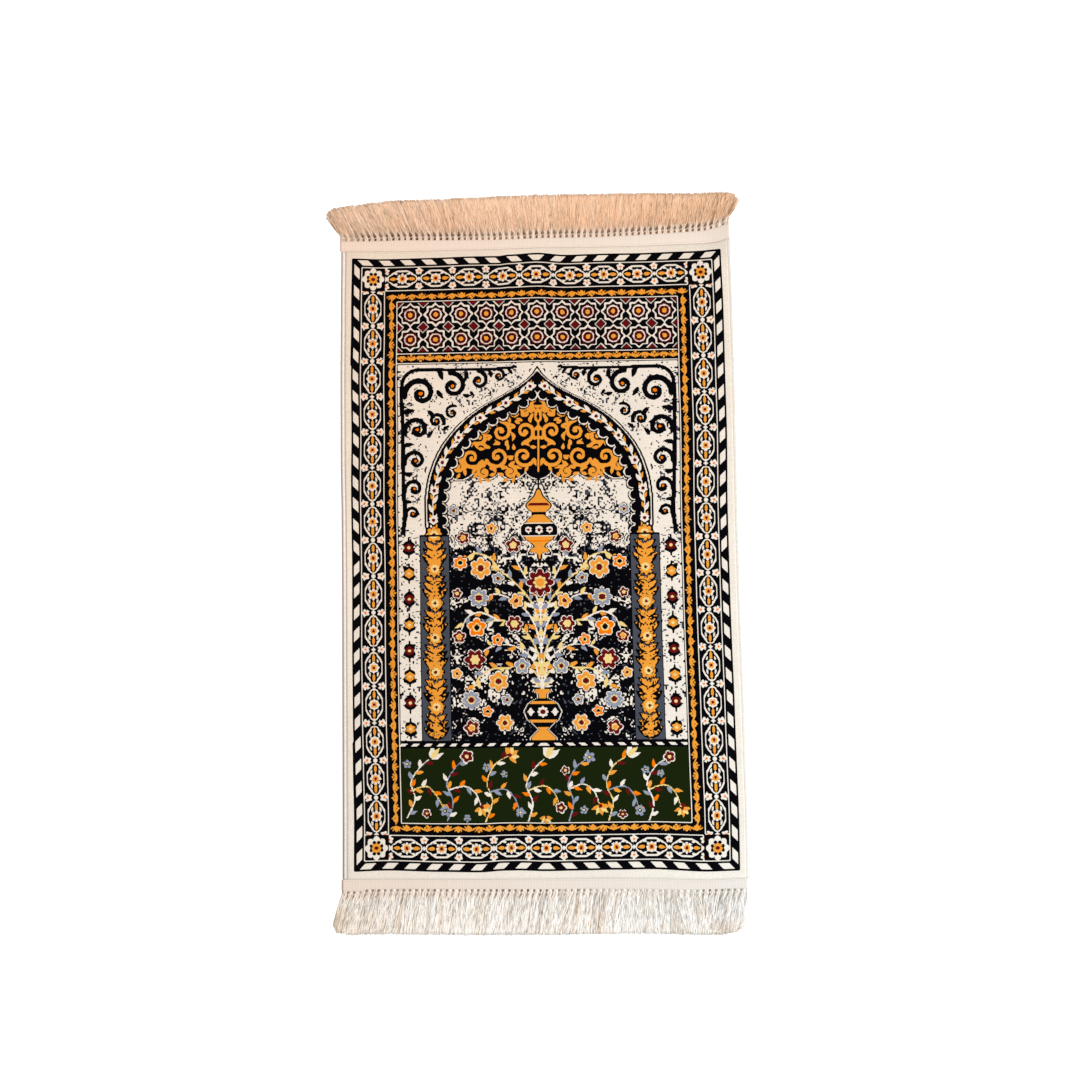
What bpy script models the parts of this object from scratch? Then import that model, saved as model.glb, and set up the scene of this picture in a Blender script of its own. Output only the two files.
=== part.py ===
"""A flat prayer rug with a tied fringe at each end, lying on a floor.

The rug is one cloth: a pile field with a plain margin round it, and an overcast rib along each long side.
Across each end lies a heading tape, which carries a row of tassels of two locks each.
Metres, +Z up. The floor is z = 0, +Y points to the niche end, and the whole is centred on the origin.
"""

import math

import bmesh
import bpy

# ---- the rug's driving dimensions ----------------------------------------------------------------
RUG_WIDTH = 0.700            # over the two overcast ribs
RUG_LENGTH = 1.111           # from tape to tape
PILE_HEIGHT = 0.0050
END_HEIGHT = 0.0030          # the pile's edge beside a tape
END_ROUNDING = 0.0040
END_SKEW = -0.0053           # rise of both ends from the left side to the right side
RUG_SPANS = 30               # lengths of cloth between cross sections

RIB_WIDTH = 0.0046           # overcast rib along each long side
RIB_HEIGHT = 0.0038
RIB_ANGLES = (225, 180, 135, 90, 50, 20)
GROOVE_WIDTH = 0.0010        # between the rib and the pile
GROOVE_HEIGHT = 0.0024
SHOULDER_WIDTH = 0.0035      # over which the pile rises from the groove
SHOULDER_SHARE = 0.35        # where the pile has reached most of its height
SHOULDER_HEIGHT = 0.0043

# ---- the fringes' driving dimensions -------------------------------------------------------------
TAPE_WIDTH = 0.0178          # along Y
TAPE_HEIGHT = 0.0024
TAPE_PAST_LEFT = 0.0015      # how far a tape reaches past the rug's sides
TAPE_PAST_RIGHT = -0.0025
GAP = 0.0003                 # between touching pieces

TASSELS = 65                 # at each end, of two locks
TAPE_LEFT = -RUG_WIDTH / 2 - TAPE_PAST_LEFT
TAPE_LENGTH = RUG_WIDTH + TAPE_PAST_LEFT + TAPE_PAST_RIGHT
TASSEL_PITCH = TAPE_LENGTH / TASSELS
NECK_WIDTH = 0.0021
PAIR_GAP = 0.0006            # between the two necks of a tassel
NECK_OFFSET = (PAIR_GAP + NECK_WIDTH) / 2    # from a tassel's middle to a neck's
LOCK_OFFSET = TASSEL_PITCH / 4               # from a tassel's middle to a lock's, once spread
LOCK_TOP_SHARE = 0.45        # width of a lock's top face, as a share of its foot
LEAN_JITTER = 0.00015        # how much single locks stray from their neighbours
LENGTH_JITTER = 0.0020

# How the two edges of each tape stray outwards from a straight course. The rug's ends follow the inner one.
# Columns: tassels from the left side, inner edge, outer edge.
TOP_TAPE = (
    (0, -0.0006, 0.0008),
    (5, -0.0014, -0.0002),
    (11, -0.0025, 0.0006),
    (18, -0.0016, -0.0008),
    (26, -0.0016, -0.0018),
    (34, 0.0000, 0.0001),
    (43, -0.0011, -0.0004),
    (51, -0.0005, 0.0024),
    (57, 0.0012, 0.0054),
    (61, 0.0018, 0.0078),
    (63, 0.0045, 0.0132),
    (65, 0.0111, 0.0205),
)
FOOT_TAPE = (
    (0, 0.0020, 0.0048),
    (3, 0.0014, 0.0046),
    (4, 0.0011, -0.0002),
    (10, 0.0012, -0.0008),
    (18, 0.0020, -0.0002),
    (26, 0.0016, 0.0000),
    (33, 0.0016, 0.0006),
    (42, 0.0006, -0.0006),
    (50, 0.0013, 0.0010),
    (55, 0.0029, 0.0024),
    (59, 0.0040, 0.0010),
    (63, 0.0015, 0.0000),
    (65, 0.0010, 0.0000),
)

# How far each long side strays outwards from a straight line.
# Columns: share of the length from the foot end, left side, right side.
SIDE_DRIFT = (
    (0.00, 0.0002, 0.0008),
    (0.10, -0.0001, 0.0016),
    (0.24, -0.0002, 0.0008),
    (0.44, -0.0004, -0.0012),
    (0.56, 0.0000, -0.0013),
    (0.66, 0.0013, -0.0006),
    (0.78, 0.0013, 0.0002),
    (0.90, 0.0003, -0.0003),
    (1.00, -0.0009, -0.0014),
)

# How each fringe lies.
# Columns: share of the width from the left side, lean of the tips to the right, reach past the rug's end.
TOP_FRINGE = (
    (0.000, -0.0240, 0.0645),
    (0.004, -0.0245, 0.0722),
    (0.012, -0.0225, 0.0775),
    (0.030, -0.0225, 0.0818),
    (0.070, -0.0230, 0.0855),
    (0.120, -0.0230, 0.0892),
    (0.170, -0.0220, 0.0936),
    (0.280, -0.0170, 0.0946),
    (0.380, -0.0130, 0.0966),
    (0.480, -0.0120, 0.0985),
    (0.560, 0.0000, 0.0988),
    (0.660, 0.0040, 0.0980),
    (0.800, 0.0060, 0.0977),
    (0.880, 0.0090, 0.0955),
    (0.940, 0.0140, 0.0960),
    (0.970, 0.0175, 0.0966),
    (0.985, 0.0180, 0.0920),
    (0.995, 0.0195, 0.0840),
    (1.000, 0.0190, 0.0795),
)
FOOT_FRINGE = (
    (0.000, -0.0155, 0.0830),
    (0.010, -0.0170, 0.0935),
    (0.030, -0.0145, 0.0975),
    (0.060, -0.0110, 0.0977),
    (0.120, -0.0135, 0.0960),
    (0.200, -0.0110, 0.0975),
    (0.300, -0.0075, 0.0980),
    (0.420, -0.0115, 0.0980),
    (0.550, -0.0105, 0.0978),
    (0.650, -0.0070, 0.0965),
    (0.750, -0.0045, 0.0962),
    (0.820, 0.0010, 0.0980),
    (0.870, 0.0005, 0.0983),
    (0.950, -0.0075, 0.0980),
    (0.985, -0.0030, 0.0945),
    (1.000, 0.0020, 0.0880),
)

# Cross sections of a lock, after its root in the tape.
# Columns: share of its length, share of its lean, share of its spread, width, height.
LOCK_SECTIONS = (
    (0.09, 0.02, 0.00, 0.0020, 0.0019),
    (0.30, 0.16, 1.00, 0.0042, 0.0027),
    (0.68, 0.58, 1.00, 0.0042, 0.0023),
    (1.00, 1.00, 1.00, 0.0024, 0.0010),
)

CREAM = (0.83, 0.73, 0.60, 1.0)
TOP_YARN = (0.76, 0.55, 0.38, 1.0)
FOOT_YARN = (0.80, 0.75, 0.68, 1.0)
CLOTH_ROUGHNESS = 0.9


# ---- helpers -------------------------------------------------------------------------------------
def read_table(rows, share, column):
    """Value of a column at a share of the table's first column, eased between rows."""
    for lower, upper in zip(rows, rows[1:]):
        if share <= upper[0]:
            step = max(0.0, (share - lower[0]) / (upper[0] - lower[0]))
            eased = step * step * (3.0 - 2.0 * step)
            return lower[column] + (upper[column] - lower[column]) * eased
    return rows[-1][column]


def stray(number):
    """A fixed, irregular value between -1 and 1 for each whole number."""
    wave = math.sin(number * 12.9898) * 43758.5453
    return 2.0 * (wave - math.floor(wave)) - 1.0


def end_y(x, end):
    """Y of the straight line that the rug's foot (-1) or niche (1) end keeps to."""
    return end * RUG_LENGTH / 2 + END_SKEW * x / RUG_WIDTH


def tape_rows(end):
    return TOP_TAPE if end > 0 else FOOT_TAPE


def tape_drift(x, end, across):
    """How far a tape's inner (0) or outer (1) edge strays outwards at X, straight between the table's rows."""
    rows = tape_rows(end)
    tassels = (x - TAPE_LEFT) / TASSEL_PITCH
    for lower, upper in zip(rows, rows[1:]):
        if tassels <= upper[0] or upper is rows[-1]:
            step = (tassels - lower[0]) / (upper[0] - lower[0])
            return lower[1 + across] + (upper[1 + across] - lower[1 + across]) * step


def make_material(name, colour):
    material = bpy.data.materials.new(name)
    material.use_nodes = True
    shader = material.node_tree.nodes["Principled BSDF"]
    shader.inputs["Base Color"].default_value = colour
    shader.inputs["Roughness"].default_value = CLOTH_ROUGHNESS
    shader.inputs["Metallic"].default_value = 0.0
    material.diffuse_color = colour
    return material


def make_object(name, builder, material):
    bmesh.ops.recalc_face_normals(builder, faces=builder.faces)
    mesh = bpy.data.meshes.new(name)
    builder.to_mesh(mesh)
    builder.free()
    mesh.materials.append(material)
    part = bpy.data.objects.new(name, mesh)
    bpy.context.scene.collection.objects.link(part)
    return part


# ---- the rug -------------------------------------------------------------------------------------
def side_profile():
    """The rug's section at one side, from the floor over the rib to the pile: (inset, height)."""
    points = []
    for degrees in RIB_ANGLES:
        angle = math.radians(degrees)
        points.append((RIB_WIDTH / 2 * (1 + math.cos(angle)), RIB_HEIGHT / 2 * (1 + math.sin(angle))))
    foot = (points[0][0], 0.0)
    groove = RIB_WIDTH + GROOVE_WIDTH
    pile = [
        (groove, GROOVE_HEIGHT),
        (groove + SHOULDER_WIDTH * SHOULDER_SHARE, SHOULDER_HEIGHT),
        (groove + SHOULDER_WIDTH, PILE_HEIGHT),
    ]
    return [foot] + points + pile


def rug_stations():
    """Where the rug is cut into sections: (share of the length, height of the pile)."""
    rounding = END_ROUNDING / RUG_LENGTH
    foot = [(0.0, END_HEIGHT), (rounding * SHOULDER_SHARE, SHOULDER_HEIGHT), (rounding, PILE_HEIGHT)]
    body = []
    for step in range(1, RUG_SPANS):
        body.append((rounding + (1 - 2 * rounding) * step / RUG_SPANS, PILE_HEIGHT))
    head = [(1.0 - share, height) for share, height in reversed(foot)]
    return foot + body + head


def rug_section(share, columns):
    """A section of the rug, from the left foot over the top to the right and back below: (X, height)."""
    profile = side_profile()
    left = -RUG_WIDTH / 2 - read_table(SIDE_DRIFT, share, 1)
    right = RUG_WIDTH / 2 + read_table(SIDE_DRIFT, share, 2)
    section = [(left + inset, height) for inset, height in profile]
    section += [(x, PILE_HEIGHT) for x in columns]
    section += [(right - inset, height) for inset, height in reversed(profile)]
    below = [right - profile[-1][0]] + columns[::-1] + [left + profile[-1][0]]
    return section + [(x, 0.0) for x in below]


def make_rug(material):
    builder = bmesh.new()
    side = len(side_profile())
    bends = {row[0] for row in tape_rows(-1)[1:-1] + tape_rows(1)[1:-1]}
    columns = [TAPE_LEFT + tassels * TASSEL_PITCH for tassels in sorted(bends)]
    rings = []
    for share, pile in rug_stations():
        ring = []
        for x, height in rug_section(share, columns):
            foot = end_y(x, -1) - tape_drift(x, -1, 0)
            head = end_y(x, 1) + tape_drift(x, 1, 0)
            ring.append(builder.verts.new((x, foot + (head - foot) * share, min(height, pile))))
        rings.append(ring)
    for lower, upper in zip(rings, rings[1:]):
        for index in range(len(lower)):
            after = (index + 1) % len(lower)
            builder.faces.new((lower[index], lower[after], upper[after], upper[index]))
    for ring in (rings[0], rings[-1]):
        builder.faces.new(ring[:side] + [ring[-1]])
        for index in range(side - 1, side + len(columns)):
            builder.faces.new((ring[index], ring[index + 1], ring[side - 3 - index], ring[side - 2 - index]))
        builder.faces.new(ring[side + len(columns):2 * side + len(columns) + 1])
    return make_object("rug", builder, material)


# ---- the fringes ---------------------------------------------------------------------------------
def tape_y(x, end, across):
    """Y of the tape's inner (0) or outer (1) edge at X."""
    return end_y(x, end) + end * (GAP + TAPE_WIDTH * across + tape_drift(x, end, across))


def tape_edge(builder, x, end, across):
    """Foot and top vertex of the tape at X, on its inner (0) or outer (1) edge."""
    y = tape_y(x, end, across)
    return builder.verts.new((x, y, 0.0)), builder.verts.new((x, y, TAPE_HEIGHT))


def grow_lock(builder, root, tassel, side, end, rows):
    """Grow one lock out of its root, four vertices of the tape's outer wall."""
    middle = TAPE_LEFT + (tassel + 0.5) * TASSEL_PITCH
    number = 2 * tassel + (side > 0) + (TASSELS * 2 if end > 0 else 0)
    share = (middle + side * LOCK_OFFSET - TAPE_LEFT) / TAPE_LENGTH
    lean = read_table(rows, share, 1) + LEAN_JITTER * stray(number)
    start = tape_y(middle, end, 1)
    length = read_table(rows, share, 2) + LENGTH_JITTER * stray(number + 0.5) - (start - end_y(middle, end)) * end
    last = root
    for along, leaning, spread, width, height in LOCK_SECTIONS:
        turn = math.atan2(lean, length) * min(1.0, 2.0 * leaning)
        centre = middle + side * (NECK_OFFSET + (LOCK_OFFSET - NECK_OFFSET) * spread) + lean * leaning
        ring = []
        for hand, top in ((-1, False), (-1, True), (1, True), (1, False)):
            reach = hand * width / 2 * (LOCK_TOP_SHARE if top else 1.0)
            x = centre + reach * math.cos(turn)
            y = start + end * (length * along - reach * math.sin(turn))
            ring.append(builder.verts.new((x, y, height if top else 0.0)))
        for index in range(4):
            after = (index + 1) % 4
            builder.faces.new((last[index], last[after], ring[after], ring[index]))
        last = ring
    builder.faces.new(last)


def make_fringe(name, end, rows, material):
    """A tape and its tassels as one body: each lock grows out of the tape's outer wall."""
    builder = bmesh.new()
    bends = [row[0] for row in tape_rows(end)]
    outer = [tape_edge(builder, TAPE_LEFT, end, 1)]
    inner = [tape_edge(builder, TAPE_LEFT, end, 0)]
    builder.faces.new((inner[0][0], inner[0][1], outer[0][1], outer[0][0]))
    panel = [outer[0]]
    for tassel in range(TASSELS):
        middle = TAPE_LEFT + (tassel + 0.5) * TASSEL_PITCH
        for side in (-1, 1):
            neck = middle + side * NECK_OFFSET
            root_left = tape_edge(builder, neck - NECK_WIDTH / 2, end, 1)
            root_right = tape_edge(builder, neck + NECK_WIDTH / 2, end, 1)
            builder.faces.new((panel[-1][0], panel[-1][1], root_left[1], root_left[0]))
            root = (root_left[0], root_left[1], root_right[1], root_right[0])
            grow_lock(builder, root, tassel, side, end, rows)
            panel += [root_left, root_right]
        if tassel + 1 in bends:
            seam = TAPE_LEFT + (tassel + 1) * TASSEL_PITCH
            outer_seam = tape_edge(builder, seam, end, 1)
            inner_seam = tape_edge(builder, seam, end, 0)
            builder.faces.new((panel[-1][0], panel[-1][1], outer_seam[1], outer_seam[0]))
            builder.faces.new((inner[-1][0], inner[-1][1], inner_seam[1], inner_seam[0]))
            panel.append(outer_seam)
            for level in (0, 1):
                edge = [pair[level] for pair in panel]
                builder.faces.new(edge + [inner_seam[level], inner[-1][level]])
            inner.append(inner_seam)
            panel = [outer_seam]
    builder.faces.new((inner[-1][0], inner[-1][1], panel[0][1], panel[0][0]))
    return make_object(name, builder, material)


# ---- the whole -----------------------------------------------------------------------------------
def centre_on_origin(parts):
    """Move the parts together, so that the middle of their box is above the origin."""
    for axis in (0, 1):
        places = [vertex.co[axis] for part in parts for vertex in part.data.vertices]
        middle = (min(places) + max(places)) / 2
        for part in parts:
            for vertex in part.data.vertices:
                vertex.co[axis] -= middle


def main():
    for old in list(bpy.data.objects):
        bpy.data.objects.remove(old, do_unlink=True)
    rug = make_rug(make_material("pile", CREAM))
    top = make_fringe("fringe_top", 1, TOP_FRINGE, make_material("top_yarn", TOP_YARN))
    foot = make_fringe("fringe_bottom", -1, FOOT_FRINGE, make_material("foot_yarn", FOOT_YARN))
    centre_on_origin((rug, top, foot))


main()
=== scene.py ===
"""The looks of a prayer rug lying flat: knotted pile in nine yarns, overcast sides, and a fringe at each end.

The pattern is a generic niche design. It is worked out knot by knot as a loom's chart, in millimetres
from the rug's middle, and each knot becomes one face of the pile. Everything else is in metres.
"""

import math

import bpy
import numpy as np
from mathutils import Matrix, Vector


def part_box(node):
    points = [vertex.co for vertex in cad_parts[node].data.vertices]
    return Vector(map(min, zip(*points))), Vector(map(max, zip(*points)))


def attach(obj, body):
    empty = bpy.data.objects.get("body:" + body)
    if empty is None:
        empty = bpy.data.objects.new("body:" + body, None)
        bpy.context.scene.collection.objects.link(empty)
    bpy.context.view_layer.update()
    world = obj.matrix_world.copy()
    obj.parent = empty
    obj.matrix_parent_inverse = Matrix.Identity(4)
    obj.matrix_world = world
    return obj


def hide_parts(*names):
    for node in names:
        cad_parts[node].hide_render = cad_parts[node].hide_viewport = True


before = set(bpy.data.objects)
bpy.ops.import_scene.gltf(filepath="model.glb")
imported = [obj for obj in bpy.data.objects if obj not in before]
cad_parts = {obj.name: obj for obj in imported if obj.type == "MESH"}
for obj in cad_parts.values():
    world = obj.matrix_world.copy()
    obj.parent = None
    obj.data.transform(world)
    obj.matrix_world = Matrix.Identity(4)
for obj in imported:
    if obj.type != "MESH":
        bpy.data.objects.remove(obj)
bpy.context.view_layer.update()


# ---- chart: one yarn for each knot, in millimetres from the rug's middle -------------------------
KNOT = 1.6
COLUMNS = 430
ROWS = 694

CREAM, NAVY, GOLD, ORANGE, GREEN, MAROON, SLATE, STRAW, MIST = range(9)     # the yarns
HALF_W = 332.0        # half the width of the patterned rectangle
HALF_L = 542.5        # half its length

column_mm = (np.arange(COLUMNS) + 0.5 - COLUMNS / 2) * KNOT
row_mm = (np.arange(ROWS) + 0.5 - ROWS / 2) * KNOT
chart = np.full((ROWS, COLUMNS), CREAM, dtype=np.int8)


def grain(rows, columns, seed):
    """Even noise between 0 and 1 for whole numbers, the same in each run."""
    mixed = np.sin(rows * 127.1 + columns * 311.7 + seed * 74.7) * 43758.5453
    return mixed - np.floor(mixed)


def knot_grain(u, v, seed):
    """Grain for the knot at (u, v)."""
    return grain(np.rint(v / KNOT), np.rint(u / KNOT), seed)


def clouds(u, v, size, seed):
    """Smooth noise between 0 and 1, with patches of about the given size."""
    x, y = u / size, v / size
    x0, y0 = np.floor(x), np.floor(y)
    fx, fy = x - x0, y - y0
    fx, fy = fx * fx * (3 - 2 * fx), fy * fy * (3 - 2 * fy)
    low = grain(y0, x0, seed) * (1 - fx) + grain(y0, x0 + 1, seed) * fx
    high = grain(y0 + 1, x0, seed) * (1 - fx) + grain(y0 + 1, x0 + 1, seed) * fx
    return low * (1 - fy) + high * fy


def window(u0, u1, v0, v1):
    """The knots in a box: their u and v, and their part of the chart."""
    c0, c1 = np.searchsorted(column_mm, (u0, u1))
    r0, r1 = np.searchsorted(row_mm, (v0, v1))
    return (*np.meshgrid(column_mm[c0:c1], row_mm[r0:r1]), chart[r0:r1, c0:c1])


def fill(yarn, box, test):
    """Give the yarn to each knot in box (u0, u1, v0, v1) where test(u, v) holds."""
    u, v, part = window(*box)
    if part.size:
        part[test(u, v)] = yarn


def around(u, v, reach):
    """The box that reaches as far from (u, v) on all sides."""
    return (u - reach, u + reach, v - reach, v + reach)


def block(yarn, *box):
    """Give the yarn to the whole box."""
    fill(yarn, box, lambda u, v: u == u)


def disc(yarn, u0, v0, radius):
    fill(yarn, around(u0, v0, radius), lambda u, v: np.hypot(u - u0, v - v0) <= radius)


def diamond(yarn, u0, v0, wide, high):
    fill(yarn, around(u0, v0, max(wide, high)), lambda u, v: abs(u - u0) / wide + abs(v - v0) / high <= 1)


def leaf(yarn, u0, v0, length, width, degrees, bend=0.0):
    """A pointed leaf that grows from (u0, v0) in a direction, its tip bent to the left by bend."""
    a = math.radians(degrees)
    du, dv = math.cos(a), math.sin(a)

    def inside(u, v):
        s = ((u - u0) * du + (v - v0) * dv) / length
        across = -(u - u0) * dv + (v - v0) * du - bend * s * s
        half = width / 2 * np.sin(math.pi * np.clip(s, 0, 1) ** 0.8) ** 0.9
        return (s > 0) & (s < 1) & (abs(across) <= half)
    fill(yarn, around(u0, v0, length + abs(bend) + width), inside)


def petals(yarn, u0, v0, radius, count, depth=0.4, degrees=90.0):
    """A round flower of a few petals."""
    def inside(u, v):
        angle = np.arctan2(v - v0, u - u0) - math.radians(degrees)
        edge = radius * (1 - depth + depth * abs(np.cos(angle * count / 2)))
        return np.hypot(u - u0, v - v0) <= edge
    fill(yarn, around(u0, v0, radius), inside)


def line(yarn, points, width, end_width=None):
    """A line through points that tapers from width to end_width."""
    end_width = width if end_width is None else end_width
    count = len(points) - 1
    for k, ((ua, va), (ub, vb)) in enumerate(zip(points, points[1:])):
        w0, w1 = (width + (end_width - width) * step / count for step in (k, k + 1))
        long2 = max(1e-6, (ub - ua) ** 2 + (vb - va) ** 2)
        wide = max(w0, w1)

        def inside(u, v):
            t = np.clip(((u - ua) * (ub - ua) + (v - va) * (vb - va)) / long2, 0, 1)
            away = np.hypot(u - ua - t * (ub - ua), v - va - t * (vb - va))
            return away <= (w0 + (w1 - w0) * t) / 2
        fill(yarn, (min(ua, ub) - wide, max(ua, ub) + wide, min(va, vb) - wide, max(va, vb) + wide), inside)


def curve(points, steps=10):
    """Points along a smooth curve through the given ones (Catmull-Rom)."""
    p = [points[0]] + list(points) + [points[-1]]
    out = []
    for k in range(1, len(p) - 2):
        for s in range(steps):
            t = s / steps
            out.append(tuple(
                0.5 * (2 * b + (c - a) * t + (2 * a - 5 * b + 4 * c - d) * t * t
                       + (3 * b - a - 3 * c + d) * t ** 3)
                for a, b, c, d in zip(p[k - 1], p[k], p[k + 1], p[k + 2])))
    out.append(p[-2])
    return out


def scroll(u0, v0, radius, degrees, turns, hand=1, inner=0.12, steps=26):
    """A spiral from its outer end, at an angle round its eye, into the eye."""
    out = []
    for s in range(steps + 1):
        t = s / steps
        a = math.radians(degrees) + hand * 2 * math.pi * turns * t
        r = radius * (1 - (1 - inner) * t ** 0.85)
        out.append((u0 + r * math.cos(a), v0 + r * math.sin(a)))
    return out


def mirror(v0, v1):
    """Copy the right half of the chart between two heights to its left half."""
    r0, r1 = np.searchsorted(row_mm, (v0, v1))
    half = COLUMNS // 2
    chart[r0:r1, :half] = chart[r0:r1, half:][:, ::-1]


# ---- borders -------------------------------------------------------------------------------------
def inset(u, v):
    """Distance from the border's outer edge."""
    return np.minimum(HALF_W - abs(u), HALF_L - abs(v))


def ring(yarn, outer, inner, test=lambda u, v: True):
    """Fill the border between two distances from its outer edge, where test(u, v) holds."""
    fill(yarn, (-HALF_W, HALF_W, -HALF_L, HALF_L),
         lambda u, v: (inset(u, v) >= outer) & (inset(u, v) < inner) & test(u, v))


# Where each line and band of the border ends, from its outer edge.
LINE_A = 3.2
GUARD_A = 12.8
LINE_B = 16.0
MAIN = 60.8
LINE_C = 64.0
GUARD_B = 80.0
LINE_D = 83.2
GUARD_PERIOD = 38.4          # length of a cream and a navy block of the outer guard


def guards():
    """The outer guard, slanting blocks of cream and navy that mirror at each middle and corner."""
    def pale(u, v):
        from_corner = np.where(HALF_W - abs(u) < HALF_L - abs(v), HALF_L - abs(v), HALF_W - abs(u))
        return abs((from_corner - inset(u, v)) % GUARD_PERIOD - 15.6) < GUARD_PERIOD / 4

    ring(NAVY, 0, LINE_B)
    ring(CREAM, LINE_A, GUARD_A, pale)
    ring(NAVY, MAIN, LINE_D)


def placer(s, t, horizontal):
    """Turns distances along and across the border, from s along and t across, into u and v."""
    return (lambda a, b: (s + a, t + b)) if horizontal else (lambda a, b: (t + b, s + a))


def cartouche(s, t, horizontal):
    """One cream cartouche with its flower; s and t are the place along and across the border."""
    at = placer(s, t, horizontal)
    turn = 0 if horizontal else 90

    def inside(u, v, less=0.0):
        a, b = (u - s, v - t) if horizontal else (v - s, u - t)
        a, b = abs(a) + less, abs(b) + less
        middle = (a <= 20) & (b <= 15.5) & (a * 0.55 + b <= 21)
        return middle | (np.hypot(a - less - 19, b - less) <= 8.5 - less)
    fill(CREAM, around(*at(0, 0), 30), inside)
    fill(NAVY, around(*at(0, 0), 30), lambda u, v: inside(u, v, 2.2))
    petals(CREAM, *at(0, 0), 10.4, 8, 0.35)
    petals(GOLD, *at(0, 0), 6.4, 8, 0.30, 90 + 22.5)
    disc(MAROON, *at(0, 0), 3.0)
    for side in (-1, 1):
        base = turn + (0 if side > 0 else 180)
        leaf(GOLD, *at(side * 10.5, 0), 14, 6.4, base)
        for across in (-1, 1):
            leaf(CREAM, *at(side * 8, across * 8.5), 9, 3.8, base + 20 * side * across)


def sprig(s, t, horizontal):
    """The pair of small flowers on the dark ground between two cartouches."""
    at = placer(s, t, horizontal)
    turn = 90 if horizontal else 0
    for side in (-1, 1):
        petals(CREAM, *at(0, side * 14), 7.4, 5, 0.45, turn if side > 0 else turn + 180)
        disc(ORANGE, *at(0, side * 14), 2.4)
    diamond(CREAM, *at(0, 0), 4.4, 4.4)


def main_border():
    """The wide navy border: cartouches and sprigs by turns, and a flower in each corner."""
    ring(NAVY, LINE_B, MAIN)
    ring(CREAM, LINE_B + 0.1, LINE_B + 1.7)
    ring(CREAM, MAIN - 1.7, MAIN - 0.1)
    mid = (LINE_B + MAIN) / 2
    for count, reach, horizontal, t0 in (
        (9, HALF_W - MAIN, True, HALF_L - mid), (15, HALF_L - MAIN, False, HALF_W - mid),
    ):
        pitch = 2 * reach / count
        for side in (-1, 1):
            for k in range(count):
                cartouche(-reach + (k + 0.5) * pitch, side * t0, horizontal)
            for k in range(count + 1):
                sprig(-reach + k * pitch, side * t0, horizontal)
    for su in (-1, 1):
        for sv in (-1, 1):
            u0, v0 = su * (HALF_W - mid), sv * (HALF_L - mid)
            square = (*sorted((su * (HALF_W - LINE_B - 2), su * (HALF_W - MAIN))),
                      *sorted((sv * (HALF_L - LINE_B - 2), sv * (HALF_L - MAIN))))
            block(NAVY, *square)
            petals(CREAM, u0, v0, 20.5, 8, 0.22)
            petals(NAVY, u0, v0, 13.5, 8, 0.4, 90 + 22.5)
            petals(GOLD, u0, v0, 9, 8, 0.3)
            disc(MAROON, u0, v0, 3.6)


def gold_vine(reach, t0, horizontal, pitch_wanted=36.0, high=5.6):
    """A gold vine with leaves in each bend, along the middle, at t0, of a navy band."""
    count = round(2 * reach / pitch_wanted)
    pitch = 2 * reach / count
    at = placer(0, t0, horizontal)
    line(GOLD, [at(-reach + pitch * k / 8, high * 0.55 * math.sin(2 * math.pi * k / 8))
                for k in range(8 * count + 1)], 2.6)
    for k in range(count * 2):
        s = -reach + pitch * (k + 0.5) / 2
        up = 1 if k % 2 == 0 else -1
        for swing in (-1, 1):
            base = at(s, up * high * 0.5)
            away = -up * 90 if horizontal else 90 + up * 90
            leaf(GOLD, *base, 9.5, 4.6, away + swing * 42)
        disc(GOLD, *at(s, -up * high * 0.75), 2.3)


def inner_guard():
    """The narrow navy border with its gold vine."""
    mid = (LINE_C + GUARD_B) / 2
    for side in (-1, 1):
        gold_vine(HALF_W - LINE_C, side * (HALF_L - mid), True)
        gold_vine(HALF_L - GUARD_B, side * (HALF_W - mid), False)
    ring(CREAM, GUARD_B + 0.1, GUARD_B + 1.7)


# ---- field ---------------------------------------------------------------------------------------
FIELD_W = HALF_W - LINE_D
FIELD_L = HALF_L - LINE_D


def star_panel(u0, u1, v0, v1, tile, mid_v):
    """Eight-pointed stars and crosses, laced in cream on navy."""
    def local(u, v):
        x = (u / tile + 0.5) % 1 * tile - tile / 2
        y = ((v - mid_v) / tile + 0.5) % 1 * tile - tile / 2
        return abs(x), abs(y)

    def star(u, v, size):
        x, y = local(u, v)
        return np.minimum(np.maximum(x, y), (x + y) / math.sqrt(2)) - size

    box = (u0, u1, v0, v1)
    reach = tile / (2 * math.sqrt(2))
    block(NAVY, *box)
    fill(MAROON, box, lambda u, v: star(u, v, reach * 0.62) < 0)
    fill(CREAM, box, lambda u, v: abs(star(u, v, reach - 1.4)) < 1.3)
    fill(CREAM, box, lambda u, v: abs(np.hypot(*local(u, v)) - reach * 0.62) < 1.0)
    fill(NAVY, box, lambda u, v: np.hypot(*local(u, v)) < reach * 0.40)
    fill(GOLD, box, lambda u, v: np.hypot(*local(u, v)) < reach * 0.27)

    def corner(u, v):
        x, y = local(u, v)
        return tile / 2 - x, tile / 2 - y
    fill(MAROON, box, lambda u, v: sum(corner(u, v)) < reach * 0.46)
    fill(CREAM, box, lambda u, v: abs(sum(corner(u, v)) - reach * 0.62) < 1.0)


STAR_TILE = 2 * FIELD_W / 11
STAR_FOOT = FIELD_L - 2 * STAR_TILE
BAND_FOOT = STAR_FOOT - 23.0
ARCH_FOOT = 40.0
ARCH_BOX = (0, FIELD_W, ARCH_FOOT, BAND_FOOT)

# Outlines of the arch, right half. Columns: half width, height.
ARCH_INNER = (
    (168, 40), (170, 90), (163, 135), (146, 178), (118, 214), (84, 240), (50, 258), (24, 274), (8, 289),
    (0, 304),
)
ARCH_OUTER = (
    (200, 40), (202, 95), (194, 148), (174, 196), (142, 236), (104, 266), (66, 287), (34, 305),
    (12, 323), (0, 340),
)


def within(outline, v):
    """Half width of an outline at a height."""
    points = np.array(curve(outline, 12))
    return np.interp(v, points[:, 1], points[:, 0], right=-1)


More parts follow.
